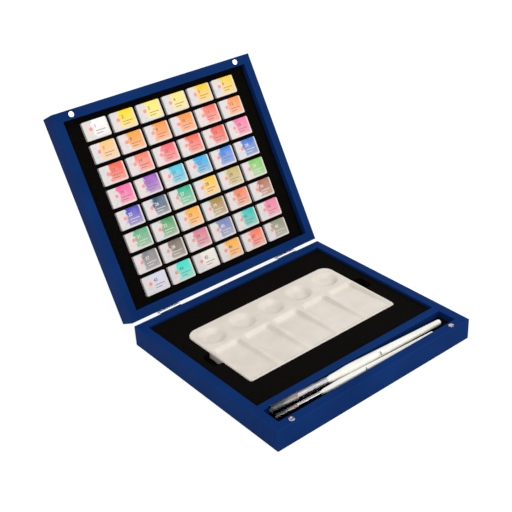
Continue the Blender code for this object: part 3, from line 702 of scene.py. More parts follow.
def groove(shape):
    """Cuts a fine seam into the underside, where the bottom panel meets the walls."""
    settings = settings_of("case")
    under = max((f for f in shape.faces if f.normal.z < -0.9), key=lambda f: f.calc_area())
    bmesh.ops.inset_region(shape, faces=[under], thickness=WALL - settings.edge_radius)
    ring = bmesh.ops.inset_region(shape, faces=[under], thickness=settings.seam_width)["faces"]
    pushed(shape, ring, (0, 0, settings.seam_depth))


class WATERCOLOR_OT_case(bpy.types.Operator):
    """Painted base and lid, each one continuous painted shell with holes for magnets and screws"""

    bl_idname = "watercolor.case"
    bl_label = "Painted Case"

    def execute(self, context):
        settings = settings_of("case")
        paint = painted_wood("satin_painted_wood", settings.paint_colour, settings)
        # The bevels take the lighter edge paint: wear, and a painted highlight on the edges.
        edges = painted_wood("satin_paint_worn_thin_and_highlit", settings.worn_and_highlit_edge_colour, settings)
        left, right = BASE_LOW.x + WALL, BASE_HIGH.x - WALL
        front, back = BASE_LOW.y + WALL, BASE_HIGH.y - WALL
        base_pockets = [
            (left, front, right, DIVIDER_LOW.y),
            (left, DIVIDER_HIGH.y, right, back),
        ]
        base = tray(BASE_LOW, BASE_HIGH, base_pockets, FLOOR_TOP)
        round_edges(base, settings.edge_radius, 3, edge_material=1)
        groove(base)
        holes = magnet_holes(nodes_named("base_magnet"), STANDING)
        holes += screw_holes(screws_of("base"), STANDING)
        base = combined(base, holes, "DIFFERENCE")
        base_nodes = [*BASE_WALLS, "base_floor", "base_divider"]
        piece("base_case", base, [paint, edges], "base", base_nodes)

        flipped = Matrix.Diagonal((1, 1, -1, 1))
        low = Vector((LID_LOW.x, LID_LOW.y, -LID_HIGH.z))
        high = Vector((LID_HIGH.x, LID_HIGH.y, -LID_LOW.z))
        pocket = (low.x + WALL, low.y + WALL, high.x - WALL, high.y - WALL)
        lid = tray(low, high, [pocket], -LID_PANEL_LOW)
        bmesh.ops.transform(lid, matrix=flipped, verts=lid.verts)
        bmesh.ops.recalc_face_normals(lid, faces=lid.faces)
        round_edges(lid, settings.edge_radius, 3, edge_material=1)
        holes = magnet_holes(nodes_named("lid_magnet"), LID_PLACE)
        holes += screw_holes(screws_of("lid"), LID_PLACE)
        lid = combined(lid, holes, "DIFFERENCE")
        lid_nodes = [*LID_WALLS, "lid_panel"]
        piece("lid_case", lid, [paint, edges], "lid", lid_nodes, LID_PLACE)
        return {"FINISHED"}


# Foam

class FoamSettings(bpy.types.PropertyGroup):
    base_colour: colour("Foam", "Colour of the foam", "#0B0A08")
    dark_colour: colour("Cells", "Colour in the cells", "#050403")
    dust_colour: colour("Dust", "Colour of the dusty specks", "#191410")
    cell_size: length("Cells", "Spacing of the foam's cells", 0.7 * MM)
    edge_radius: length("Edge", "Rounding of the cut edges", 0.7 * MM)
    palette_corner: length("Palette corner", "Corners of the palette's window at the back", 12 * MM)
    front_corner: length("Front corner", "Corners of the palette's window at the front", 3 * MM)
    notch_corner: length("Notch corner", "Corners of the finger notches", 4 * MM)
    pocket_corner: length("Pocket corner", "Corners of the pan pockets", 0.8 * MM)
    play: length("Play", "Room round what lies in the foam", 0.3 * MM)


def foam_piece(name, shape, foam, body, node, place=STANDING):
    made = piece(name, shape, [foam], body, [node], place)
    return made


def palette_window():
    """The window's outline: the palette's own, with a finger notch at each end."""
    settings = settings_of("foam")
    low, high = corners_of(["palette"])
    low, high = low - Vector((1, 1, 0)) * settings.play, high + Vector((1, 1, 0)) * settings.play
    notch = joint_box("left_finger_notch"), joint_box("right_finger_notch")
    reach = settings.play * 3
    notch_left, notch_right = notch[0][0].x - reach, notch[1][1].x + reach
    notch_low, notch_high = notch[0][0].y - reach * 2, notch[0][1].y + reach * 2
    inner = settings.edge_radius * 2
    outer = settings.notch_corner
    return rounded_outline(
        [
            (low.x, low.y, settings.front_corner),
            (high.x, low.y, settings.front_corner),
            (high.x, notch_low, inner),
            (notch_right, notch_low, outer),
            (notch_right, notch_high, outer),
            (high.x, notch_high, inner),
            (high.x, high.y, settings.palette_corner),
            (low.x, high.y, settings.palette_corner),
            (low.x, notch_high, inner),
            (notch_left, notch_high, outer),
            (notch_left, notch_low, outer),
            (low.x, notch_low, inner),
        ]
    )


def joint_box(name):
    """The corners of one of the record's openings."""
    found = next(o for o in frame["record"]["physics"]["openings"] if o["name"] == name)
    return [Vector(corner) for corner in found["box_m"]]


def pan_boxes():
    """Each pan's corners in the lid's frame, row by row from the lid's free edge."""
    rows = []
    settings = settings_of("pans")
    for number in range(settings.rows):
        low, high = corners_of([f"pan_row_{number + 1}"], LID_PLACE)
        pitch = (high.x - low.x - settings.width) / (settings.columns - 1)
        row = []
        for column in range(settings.columns):
            left = low.x + column * pitch
            row.append((Vector((left, low.y, low.z)), Vector((left + settings.width, high.y, high.z))))
        rows.append(row)
    return rows


class WATERCOLOR_OT_foam(bpy.types.Operator):
    """Die-cut foam sheets and their backings, with softly rounded cuts"""

    bl_idname = "watercolor.foam"
    bl_label = "Foam Inserts"

    def execute(self, context):
        settings = settings_of("foam")
        foam = black_foam()
        low, high = corners_of(["base_foam"])
        edge = rounded_outline(box_corners(low, high, settings.edge_radius), 2)
        sheet = cut_sheet([edge, palette_window()], low.z, high.z)
        soften_top(sheet, high.z, settings.edge_radius)
        foam_piece("palette_foam_sheet", sheet, foam, "base", "base_foam")

        low, high = corners_of(["lid_foam"], LID_PLACE)
        outlines = [rounded_outline(box_corners(low, high, settings.edge_radius), 2)]
        grow = Vector((1, 1, 0)) * settings.play
        for row in pan_boxes():
            for first, last in row:
                corners = box_corners(first - grow, last + grow, settings.pocket_corner)
                outlines.append(rounded_outline(corners, 3))
        sheet = cut_sheet(outlines, low.z, high.z)
        soften_top(sheet, low.z, settings.edge_radius / 2)
        foam_piece("pan_foam_sheet", sheet, foam, "lid", "lid_foam", LID_PLACE)

        blocks = (
            ("palette_foam_backing", "base", "base_foam_backing", STANDING),
            ("brush_foam_bed", "base", "brush_bed_foam", STANDING),
            ("pan_foam_backing", "lid", "lid_foam_backing", LID_PLACE),
        )
        for name, body, node, place in blocks:
            block = cuboid(*corners_of([node], place))
            round_edges(block, settings.edge_radius)
            foam_piece(name, block, foam, body, node, place)
        return {"FINISHED"}


def soften_top(shape, height, radius):
    """Rounds the edges of the cuts that lie at one height."""
    level = [
        e
        for e in shape.edges
        if all(abs(v.co.z - height) < 0.01 * MM for v in e.verts) and e.calc_face_angle(0) > SHARP
    ]
    round_edges(shape, radius, 2, chosen=level)


# Palette

class PaletteSettings(bpy.types.PropertyGroup):
    glaze_colour: colour("Glaze", "Colour of the glazed porcelain", "#E0D8CE")
    shade_colour: colour("Clouds", "Colour of its faint clouds", "#D9D1C5")
    wells: IntProperty(name="Wells", description="Wells in each row", default=5)
    pitch: length("Pitch", "Spacing of the wells", 38.2 * MM)
    round_radius: length("Round well", "Radius of a round well", 15 * MM)
    round_to_back: length("To back", "From the back edge to the round wells' middle", 21.4 * MM)
    depth: length("Depth", "Depth of the slanted wells at the back", 5 * MM)
    front_depth: length("Front depth", "Depth of the slanted wells at the front", 1.1 * MM)
    round_depth: length("Round depth", "Depth of the round wells", 3.8 * MM)
    round_slope: length("Round slope", "Run of a round well's wall", 9 * MM)
    slant_width: length("Slanted well", "Width of a slanted well", 34.6 * MM)
    slant_to_front: length("To front", "From the front edge to the slanted wells", 1.6 * MM)
    slant_length: length("Slanted length", "Length of a slanted well", 63 * MM)
    back_slope: length("Back slope", "Run of a slanted well's back wall", 4.8 * MM)
    side_slope: length("Side slope", "Run of its side walls", 4.2 * MM)
    edge_radius: length("Edge", "Rounding of the rim", 1.3 * MM)
    foot_radius: length("Foot", "Rounding of the lower edge", 2.2 * MM)
    back_corner: length("Back corner", "Corners at the back", 12 * MM)
    front_corner: length("Front corner", "Corners at the front", 3 * MM)
    well_corner: length("Well corner", "Corners of a slanted well", 6 * MM)
    front_slope: length("Front slope", "Run of its front wall", 1.8 * MM)
    grid: length("Grid", "Spacing of the surface's mesh", 0.75 * MM)


def eased(share):
    """A smooth rise from 0 to 1, level at both ends."""
    share = max(0, min(1, share))
    return share * share * (3 - 2 * share)


def slab_edge(x, y, half, settings):
    """How far a point lies inside the palette's outline, and the way out."""
    radius = settings.back_corner if y > 0 else settings.front_corner
    past_x = max(abs(x) - (half.x - radius), 0)
    past_y = max(abs(y) - (half.y - radius), 0)
    if past_x and past_y:
        out = Vector((math.copysign(past_x, x), math.copysign(past_y, y), 0))
        return radius - out.length, out.normalized()
    if half.x - abs(x) < half.y - abs(y):
        return half.x - abs(x), Vector((math.copysign(1, x), 0, 0))
    return half.y - abs(y), Vector((0, math.copysign(1, y), 0))


def onto_outline(x, y, half, settings):
    """Draws a rectangle's corner in, so that its edge lies on the rounded outline."""
    radius = settings.back_corner if y > 0 else settings.front_corner
    past_x, past_y = abs(x) - (half.x - radius), abs(y) - (half.y - radius)
    if past_x <= 0 or past_y <= 0:
        return x, y
    drawn = max(past_x, past_y) / math.hypot(past_x, past_y)
    new_x = half.x - radius + past_x * drawn
    new_y = half.y - radius + past_y * drawn
    return math.copysign(new_x, x), math.copysign(new_y, y)


def well_depth(x, y, half, settings):
    """Depth of the palette's surface below its top at a point from its middle."""
    index = round(x / settings.pitch)
    limit = (settings.wells - 1) // 2
    across = abs(x - max(-limit, min(limit, index)) * settings.pitch)
    from_round = math.hypot(across, y - (half.y - settings.round_to_back))
    bowl = settings.round_depth * eased((settings.round_radius - from_round) / settings.round_slope)
    front = -half.y + settings.slant_to_front
    back = front + settings.slant_length
    share = (y - front) / settings.slant_length
    floor = settings.front_depth + (settings.depth - settings.front_depth) * max(0, min(1, share))
    to_side = (settings.slant_width / 2 - across) / settings.side_slope
    to_back = (back - y) / settings.back_slope
    to_front = (y - front) / settings.front_slope
    reach = settings.well_corner / settings.back_slope
    past_side, past_back = max(reach - to_side, 0), max(reach - to_back, 0)
    corner = reach - math.hypot(past_side, past_back)
    slanted = floor * eased(min(to_side, to_back, corner)) * eased(to_front)
    return max(bowl, slanted)


def palette_shape():
    """A fine grid drawn onto the palette's outline, sunk into wells, with its sides pulled down."""
    settings = settings_of("palette")
    low, high = corners_of(["palette"])
    middle, half = (low + high) / 2, (high - low) / 2
    thickness = high.z - low.z
    shape = bmesh.new()
    columns, rows = round(2 * half.x / settings.grid), round(2 * half.y / settings.grid)
    bmesh.ops.create_grid(
        shape,
        x_segments=columns,
        y_segments=rows,
        size=0.5,
        matrix=Matrix.Diagonal((2 * half.x, 2 * half.y, 1, 1)),
    )
    for corner in shape.verts:
        x, y = onto_outline(corner.co.x, corner.co.y, half, settings)
        inside = slab_edge(x, y, half, settings)[0]
        near = max(settings.edge_radius - inside, 0)
        drop = settings.edge_radius - math.sqrt(max(settings.edge_radius**2 - near**2, 0))
        corner.co = (x, y, -well_depth(x, y, half, settings) - drop)
    rim = [e for e in shape.edges if e.is_boundary]
    foot = settings.foot_radius
    steps = 6
    turns = [math.radians(90 * i / steps) for i in range(1, steps + 1)]
    reached = 0
    rings = [(0, foot - thickness)]
    rings += [(foot * 0.6 * (1 - math.cos(t)), foot * (1 - math.sin(t)) - thickness) for t in turns]
    for inward, height in rings:
        made = bmesh.ops.extrude_edge_only(shape, edges=rim)["geom"]
        rim = [item for item in made if isinstance(item, bmesh.types.BMEdge)]
        for corner in {v for e in rim for v in e.verts}:
            x, y = corner.co.x, corner.co.y
            corner.co = (x, y, height)
            corner.co -= slab_edge(x, y, half, settings)[1] * (inward - reached)
        reached = inward
    bmesh.ops.contextual_create(shape, geom=rim)
    bmesh.ops.recalc_face_normals(shape, faces=shape.faces)
    bmesh.ops.translate(shape, verts=shape.verts, vec=(middle.x, middle.y, high.z))
    return shape


class WATERCOLOR_OT_palette(bpy.types.Operator):
    """Glazed porcelain palette with round and slanted wells"""

    bl_idname = "watercolor.palette"
    bl_label = "Porcelain Palette"

    def execute(self, context):
        piece(
            "porcelain_palette",
            palette_shape(),
            [glazed_porcelain()],
            "palette",
            ["palette"],
        )
        return {"FINISHED"}


# Pans

# Paint colours by their common pigment names, in rows from the lid's free edge
PAINTS = (
    ("chinese white", "#F4F2F1"), ("cadmium yellow", "#FFD800"), ("lemon yellow", "#F8E566"),
    ("naples yellow", "#FBE07A"), ("indian yellow", "#FFC61E"), ("gamboge", "#FFC81A"),
    ("naples orange", "#FDC078"), ("cadmium orange", "#FF980A"), ("isoindoline orange", "#FF8E22"),
    ("pyrrole orange", "#FF9038"), ("coral red", "#FB6650"), ("orange lake", "#FF9246"),
    ("vermilion", "#F65236"), ("cadmium scarlet", "#F97660"), ("carmine", "#F8626A"),
    ("pyrrole red", "#F9614E"), ("cadmium red", "#EE4F42"), ("quinacridone rose", "#F56DA2"),
    ("quinacridone magenta", "#F659A0"), ("dioxazine violet", "#9A52BE"), ("cyan lake", "#35BFDD"),
    ("phthalo cyan", "#00A6DF"), ("cerulean", "#2B7FE0"), ("cobalt", "#2A6FCB"),
    ("ultramarine", "#4A3FBC"), ("indigo", "#2C5573"), ("phthalo emerald", "#00B388"),
    ("yellow ochre", "#FBC034"), ("raw umber light", "#C5AE62"), ("leaf green", "#7CC662"),
    ("terre verte", "#4CAA78"), ("hooker green", "#419E5E"), ("orange ochre", "#FFAB20"),
    ("olive brown", "#A48437"), ("light sienna", "#EE7F57"), ("burnt sienna", "#A8623F"),
    ("neutral grey", "#7D7A7F"), ("warm sepia", "#6F5E52"), ("rose lake", "#D9768C"),
    ("payne grey", "#6A7CB5"), ("turquoise", "#00BFB3"), ("potter pink", "#F0749E"),
    ("pale lavender", "#D5D6EA"), ("bright turquoise", "#14E0CB"), ("buff titanium", "#EDE7DC"),
    ("golden orange", "#FFAA1C"), ("red orange lake", "#FA7150"), ("grey olive", "#8C8F72"),
)


class PanSettings(bpy.types.PropertyGroup):
    rows: IntProperty(name="Rows", description="Rows of pans", default=8)
    columns: IntProperty(name="Columns", description="Pans in a row", default=6)
    width: length("Width", "Width of a wrapped pan", 29 * MM)
    edge_radius: length("Edge", "Rounding of the wrapper's folds", 0.55 * MM)
    corner_radius: length("Corner", "Rounding of the label's corners", 1.6 * MM)
    fold_depth: length("Fold", "Depth of the folded ends", 0.35 * MM)
    paper_colour: colour("Paper", "Colour of the wrapper", "#DDD5CD")
    cool_tint: colour("Cool tint", "Pale blotches printed at the left", "#C3D3DC")
    warm_tint: colour("Warm tint", "Pale pink blotches among them", "#EFCFD2")
    dot_colour: colour("Dot", "Colour of the plain dot", "#F07C74")
    ink_colour: colour("Ink", "Colour of the number and the rules", "#463C34")
    wash_start: number("Wash", "Share of the label before the wash", 0.34, subtype="FACTOR")
    dot_radius: length("Dot size", "Radius of the plain dot", 2 * MM)
    number_height: length("Number", "Height of the number", 3.4 * MM)
    rule_height: length("Rule", "Height of a rule", 0.65 * MM)
    print_height: length("Print", "How proud the ink stands", 0.03 * MM)


# Places on a label, as shares of its width and height
DOT_PLACE_SHARES = (0.28, 0.56)
NUMBER_PLACE_SHARES = (0.44, 0.58)
RULE_SHARES = ((0.44, 0.42, 0.4), (0.44, 0.28, 0.26))


def wrapped_pan(low, high):
    """A paper-wrapped pan: rounded folds, and each end folded in like an envelope."""
    settings = settings_of("pans")
    shape = cuboid(low, high)
    upright = [e for e in shape.edges if abs(e.verts[0].co.z - e.verts[1].co.z) > settings.corner_radius]
    round_edges(shape, settings.corner_radius, 4, chosen=upright)
    ends = [f for f in shape.faces if abs(f.normal.x) > 0.99]
    for end in ends:
        inward = Vector((-math.copysign(settings.fold_depth, end.normal.x), 0, 0))
        made = bmesh.ops.poke(shape, faces=[end])
        bmesh.ops.translate(shape, verts=made["verts"], vec=inward)
    outer = [e for e in shape.edges if e.calc_face_angle(0) > math.radians(60)]
    round_edges(shape, settings.edge_radius, 2, chosen=outer)
    return shape


def paint_faces(shape, faces, rgba, material):
    """Gives faces their printed colour and material."""
    layer = shape.loops.layers.float_color["wash"]
    for face in faces:
        face.material_index = material
        for loop in face.loops:
            loop[layer] = rgba


def add_to(shape, other):
    """Moves another bmesh's geometry into a shape and returns its faces."""
    mesh = bpy.data.meshes.new("part")
    other.to_mesh(mesh)
    other.free()
    known = len(shape.faces)
    shape.from_mesh(mesh)
    bpy.data.meshes.remove(mesh)
    shape.faces.ensure_lookup_table()
    return shape.faces[known:]


def label_point(low, high, across, up):
    """A place on the label. It faces the lid's rim, with its top towards the free edge."""
    return Vector((low.x + (high.x - low.x) * across, high.y - (high.y - low.y) * up, low.z))


def label_number(text, height, thickness):
    """A bmesh of flat figures, one height tall, that read from below."""
    curve = bpy.data.curves.new("number", "FONT")
    curve.body = text
    curve.size = height / 0.7
    curve.extrude = thickness
    curve.offset = height * 0.03
    curve.resolution_u = 3
    shape = mesh_of_curve(curve)
    cleaned(shape)
    return shape


def row_of_pans(row, number):
    """Six wrapped pans as one bmesh, with labels, dots, numbers and rules."""
    settings = settings_of("pans")
    shape = bmesh.new()
    shape.loops.layers.uv.new("label")
    shape.loops.layers.float_color.new("wash")
    facing = Matrix.Rotation(math.pi, 4, "X")
    for column, (low, high) in enumerate(row):
        place = number * settings.columns + column
        wash = srgb(PAINTS[place][1])
        pan = add_to(shape, wrapped_pan(low, high))
        paint_faces(shape, pan, wash, 0)
        labels = shape.loops.layers.uv["label"]
        for face in pan:
            on_label = face.normal.z < -0.3
            for loop in face.loops:
                across = (loop.vert.co.x - low.x) / (high.x - low.x)
                up = (high.y - loop.vert.co.y) / (high.y - low.y)
                loop[labels].uv = (across, up) if on_label else (-1, -1)
        dark = sum(wash[:3]) < 0.9
        ink = settings.paper_colour if dark else settings.ink_colour
        thick = settings.print_height
        dot_middle = label_point(low, high, *DOT_PLACE_SHARES)
        proud = Vector((0, 0, thick))
        dot = rod(settings.dot_radius, dot_middle - proud, dot_middle + proud, 24)
        paint_faces(shape, add_to(shape, dot), settings.dot_colour, 1)
        figures = label_number(str(place + 1), settings.number_height, thick)
        corner = label_point(low, high, *NUMBER_PLACE_SHARES)
        bmesh.ops.transform(figures, matrix=Matrix.Translation(corner) @ facing, verts=figures.verts)
        paint_faces(shape, add_to(shape, figures), ink, 1)
        for across, up, width in RULE_SHARES:
            start = label_point(low, high, across, up)
            reach = Vector(((high.x - low.x) * width, settings.rule_height, thick))
            bar = cuboid(start - proud, start + reach)
            paint_faces(shape, add_to(shape, bar), ink, 1)
    return shape


class WATERCOLOR_OT_pans(bpy.types.Operator):
    """Forty-eight wrapped pans, one piece for each row that moves together"""

    bl_idname = "watercolor.pans"
    bl_label = "Wrapped Pans"

    def execute(self, context):
        paper, ink = wrapper_paper(), printing_ink()
        for number, row in enumerate(pan_boxes()):
            body = f"pan_row_{number + 1}"
            shape = row_of_pans(row, number)
            piece(f"wrapped_pans_{number + 1}", shape, [paper, ink], body, [body], LID_PLACE)
        return {"FINISHED"}


# Magnets

class MagnetSettings(bpy.types.PropertyGroup):
    edge_radius: length("Edge", "Rounding of a magnet's edge", 0.25 * MM)


class WATERCOLOR_OT_magnets(bpy.types.Operator):
    """Nickel-plated disc magnets in both rims"""

    bl_idname = "watercolor.magnets"
    bl_label = "Disc Magnets"

    def execute(self, context):
        # The lid's magnets get bright nickel and the base's a darker, smudged copy: real smudges plus painted
        # shade, as the base's magnets face up at the open lid.
        bright = metal("nickel_plated_neodymium", "#EDEDEF", 0.28)
        worn = metal("smudged_and_shaded_nickel_plated_neodymium", "#D5D2DC", 0.3, smudge_and_shade_hex="#5F5C6E")
        for body, place, nickel in (("base", STANDING, worn), ("lid", LID_PLACE, bright)):
            for node in nodes_named(body + "_magnet"):
                low, high = corners_of([node], place)
                middle = (low + high) / 2
                reach = Vector((0, 0, (high.z - low.z) / 2))
                disc = rod((high.x - low.x) / 2, middle - reach, middle + reach)
                round_edges(disc, settings_of("magnets").edge_radius, 3)
                piece(node + "_disc", disc, [nickel], body, [node], place)
        return {"FINISHED"}


# Hinges

class HingeSettings(bpy.types.PropertyGroup):
    barrel_radius: length("Barrel", "Radius of the knuckles", 1.5 * MM)
    pin_radius: length("Pin", "Radius of the pin", 0.6 * MM)
    pin_play: length("Pin play", "Room between pin and knuckle", 0.05 * MM)
    pin_head: length("Pin head", "Rounding of the pin's ends", 0.25 * MM)
    leaf_inside: length("Leaf inside", "From the axis to the leaf's inner face", -1.6 * MM)
    leaf_thickness: length("Leaf", "Thickness of a leaf", 0.9 * MM)
    leaf_height: length("Leaf height", "From the axis to the leaf's far edge", 13 * MM)
    leaf_corner: length("Leaf corner", "Corners of a leaf", 2 * MM)
    relief: length("Relief", "From the axis to where a leaf runs its full length", 2 * MM)
    centre_knuckle: length("Centre knuckle", "Length of the lid's knuckle", 11 * MM)
    knuckle_gap: length("Knuckle gap", "Gap between knuckles", 0.3 * MM)
    stop_thickness: length("Stop", "Thickness of the stop arm", 1 * MM)
    stop_reach: length("Stop reach", "Reach of the stop arm", 5.5 * MM)
    shank_radius: length("Shank", "Radius of a screw's shank", 0.8 * MM)
    screw_play: length("Screw play", "Room round a shank", 0.3 * MM)
    slot_width: length("Recess", "Width of the cross recess", 0.45 * MM)
    slot_depth: length("Recess depth", "Depth of the cross recess", 0.5 * MM)


def barrel_section(settings, with_stop):
    """A knuckle's section: barrel, foot of the leaf and, on the base leaf, the stop arm. The first
    coordinate runs away from the case, the second away from the barrel along the leaf."""
    radius = settings.barrel_radius
    inside = settings.leaf_inside
    outside = inside + settings.leaf_thickness
    top = settings.relief + settings.leaf_corner
    meet = math.degrees(math.acos(outside / radius))
    if not with_stop:
        round_part = arc((0, 0), radius, -180, meet, 40)
        return [(inside, top), (inside, 0)] + round_part + [(outside, top)]
    slope = LID_OPEN - math.radians(90)
    along = Vector((math.cos(slope), math.sin(slope)))
    across = Vector((math.sin(slope), -math.cos(slope)))
    near = -outside - settings.knuckle_gap
    far = near - settings.stop_thickness
    near_angle = math.degrees(slope - math.asin(near / radius))
    far_angle = math.degrees(slope - math.asin(far / radius))
    arm = [tuple(along * settings.stop_reach + across * reach) for reach in (near, far)]
    return (
        [(inside, top), (inside, 0)]
        + arc((0, 0), radius, -180, near_angle, 20)
        + arm
        + arc((0, 0), radius, far_angle, meet, 20)
        + [(outside, top)]
    )


def extruded(section, start, end):
    """A bmesh of a (y, z) section drawn along X from start to end."""
    shape = cut_sheet([section], start, end)
    lay = Matrix(((0, 0, 1, 0), (1, 0, 0, 0), (0, 1, 0, 0), (0, 0, 0, 1)))
    bmesh.ops.transform(shape, matrix=lay, verts=shape.verts)
    return shape


def leaf_shape(settings, half_length, lower, screws):
    """A hinge leaf round its own axis: a plate with rounded corners and its knuckles."""
    corner = settings.leaf_corner
    plate = rounded_outline(
        [
            (-half_length, settings.relief, corner / 8),
            (half_length, settings.relief, corner / 8),
            (half_length, settings.leaf_height, corner),
            (-half_length, settings.leaf_height, corner),
        ]
    )
    inside, outside = settings.leaf_inside, settings.leaf_inside + settings.leaf_thickness
    shape = cut_sheet([plate], inside, outside)
    stand = Matrix(((1, 0, 0, 0), (0, 0, 1, 0), (0, 1, 0, 0), (0, 0, 0, 1)))
    bmesh.ops.transform(shape, matrix=stand, verts=shape.verts)
    bmesh.ops.recalc_face_normals(shape, faces=shape.faces)
    half_centre = settings.centre_knuckle / 2
    near_centre = half_centre + settings.knuckle_gap
    spans = [(-half_centre, half_centre)]
    if lower:
        spans = [(-half_length, -near_centre), (near_centre, half_length)]
    section = barrel_section(settings, lower)
    knuckles = [extruded(section, *span) for span in spans]
    shape = combined(shape, knuckles, "UNION")
    bore = settings.pin_radius + settings.pin_play
    cutters = [rod(bore, (-2 * half_length, 0, 0), (2 * half_length, 0, 0))]
    for x, z in screws:
        reach = settings.leaf_thickness
        radius = settings.shank_radius + settings.screw_play
        cutters.append(rod(radius, (x, inside - reach, z), (x, outside + reach, z), 24))
    return combined(shape, cutters, "DIFFERENCE")


def screw_shape(settings, low, high):
    """A pan-head screw along Y, head outwards, with a cross recess and a pointed shank."""
    head_radius = (high.x - low.x) / 2
    dome = head_radius / 4
    head = 2 * dome
    total = high.y - low.y
    profile = [(0, total)]
    profile += arc((head_radius - dome, total - dome), dome, 90, 0, 6)
    profile += [(head_radius, total - head), (settings.shank_radius, total - head)]
    threads = 14
    pitch = (total - head - 3 * settings.shank_radius) / threads
    for turn in range(threads):
        height = total - head - pitch * (turn + 0.5)
        profile.append((settings.shank_radius * 0.74, height))
        profile.append((settings.shank_radius, height - pitch / 2))
    profile.append((0, 0))
    shape = lathe(profile, 32)
    reach, half = head_radius * 0.55, settings.slot_width / 2
    deep = total - settings.slot_depth
    over = total + dome
    bars = [
        cuboid((-reach, -half, deep), (reach, half, over)),
        cuboid((-half, -reach, deep), (half, reach, over)),
    ]
    shape = combined(shape, bars, "DIFFERENCE")
    middle = (low + high) / 2
    place = Matrix.Translation((middle.x, low.y, middle.z)) @ Matrix.Rotation(-math.pi / 2, 4, "X")
    bmesh.ops.transform(shape, matrix=place, verts=shape.verts)
    return shape


class WATERCOLOR_OT_hinges(bpy.types.Operator):
    """Two plated butt hinges with stop arms, pins and screws"""

    bl_idname = "watercolor.hinges"
    bl_label = "Butt Hinges"

    def execute(self, context):
        settings = settings_of("hinges")
        steel = metal("zinc_plated_steel", "#CDCED2", 0.3, 0.006 * MM)
        downward = Matrix.Diagonal((1, 1, -1, 1))
        axis_place = Matrix.Translation(HINGE_AXIS)
        for side in ("left", "right"):
            pin_low, pin_high = corners_of([side + "_hinge_pin"])
            centre = (pin_low.x + pin_high.x) / 2
            for part, place, mirror in (("base", axis_place, downward), ("lid", LID_PLACE, STANDING)):
                node = f"{side}_hinge_{part}_leaf"
                low, high = corners_of([node], place)
                screws = []
                for screw in nodes_named(f"{side}_hinge_{part}_screw"):
                    ends = corners_of([screw], place)
                    middle = (ends[0] + ends[1]) / 2
                    screws.append((middle.x - centre, abs(middle.z)))
                    driven = screw_shape(settings, *ends)
                    piece(screw + "_driven", driven, [steel], part, [screw], place)
                leaf = leaf_shape(settings, (high.x - low.x) / 2, part == "base", screws)
                bmesh.ops.transform(leaf, matrix=mirror, verts=leaf.verts)
                bmesh.ops.translate(leaf, verts=leaf.verts, vec=(centre, 0, 0))
                bmesh.ops.recalc_face_normals(leaf, faces=leaf.faces)
                piece(node + "_plated", leaf, [steel], part, [node], place)
            middle = (pin_low + pin_high) / 2
            pin = rod(
                settings.pin_radius,
                (pin_low.x, middle.y, middle.z),
                (pin_high.x, middle.y, middle.z),
            )
            round_edges(pin, settings.pin_head, 3)
            name = side + "_hinge_pin"
            piece(name + "_plated", pin, [steel], "base", [name])
        return {"FINISHED"}


# Brushes

class BrushSettings(bpy.types.PropertyGroup):
    pearl_colour: colour("Pearl", "Colour of the lacquered handles", "#F4F2EA")
    pearl_shade: colour("Pearl shade", "Its faint clouds", "#E6E3D8")
    hair_root: colour("Hair root", "Colour of the hair at the ferrule", "#DDAE9A")
    hair_middle: colour("Hair middle", "Colour half way along", "#D3BBAE")
    hair_tip: colour("Hair tip", "Colour at the tip", "#E6E3DA")
    cap_colour: colour("Cap", "Tint of the clear caps", "#F6F8FC")
    cap_clearness: number("Clearness", "Clear share of the caps' plastic", 1.0)
    cap_wall: length("Cap wall", "Thickness of the caps' tube", 0.4 * MM)
    crimp_depth: number("Crimp", "Depth of a crimp, as a share of the radius", 0.12)
    crimp_width: length("Crimp width", "Width of a crimp's groove", 1.1 * MM)
    crimp_pitch: length("Crimp pitch", "Spacing of the crimps", 2.4 * MM)
    mark_colour: colour("Mark", "Colour of the size number", "#2A2B2E")
    mark_height: length("Mark height", "Height of the size number", 3.4 * MM)
    mark_thickness: length("Mark thickness", "How proud its ink stands", 0.05 * MM)
    mark_turn: number("Mark turn", "Round the handle from below", 2.2, subtype="ANGLE")
    large_mark_station: length("Large mark", "From the large ferrule's mouth to its number", 98 * MM)
    large_mark_radius: length("Large mark radius", "Of the large handle there", 4.4 * MM)
    small_mark_station: length("Small mark", "From the small ferrule's mouth to its number", 82 * MM)
    small_mark_radius: length("Small mark radius", "Of the small handle there", 3.1 * MM)
    strands: IntProperty(name="Hairs", description="Hairs in the large brush", default=420)
    steps: IntProperty(name="Steps", description="Facets round a brush", default=56)


def stations(node, place):
    """The radius of a brush's part, and where it starts and ends along the brush."""
    low, high = corners_of([node], place)
    return high.x, low.z, high.z


def handle_shape(brush, place):
    """A turned handle: rounded butt, long taper, belly, waisted neck and tenon."""
    node = frame["nodes"][brush + "_handle"].data.vertices
    to_local = place.inverted()
    points = {tuple(round(c, 6) for c in to_local @ v.co) for v in node}
    rings = {}
    for x, y, z in points:
        rings[round(z, 5)] = max(rings.get(round(z, 5), 0), math.hypot(x, y))
    profile = [(radius, height) for height, radius in sorted(rings.items(), reverse=True)]
    profile[0] = (0, profile[0][1])
    profile.append((0, profile[-1][1]))
    return lathe(profile, settings_of("brushes").steps)


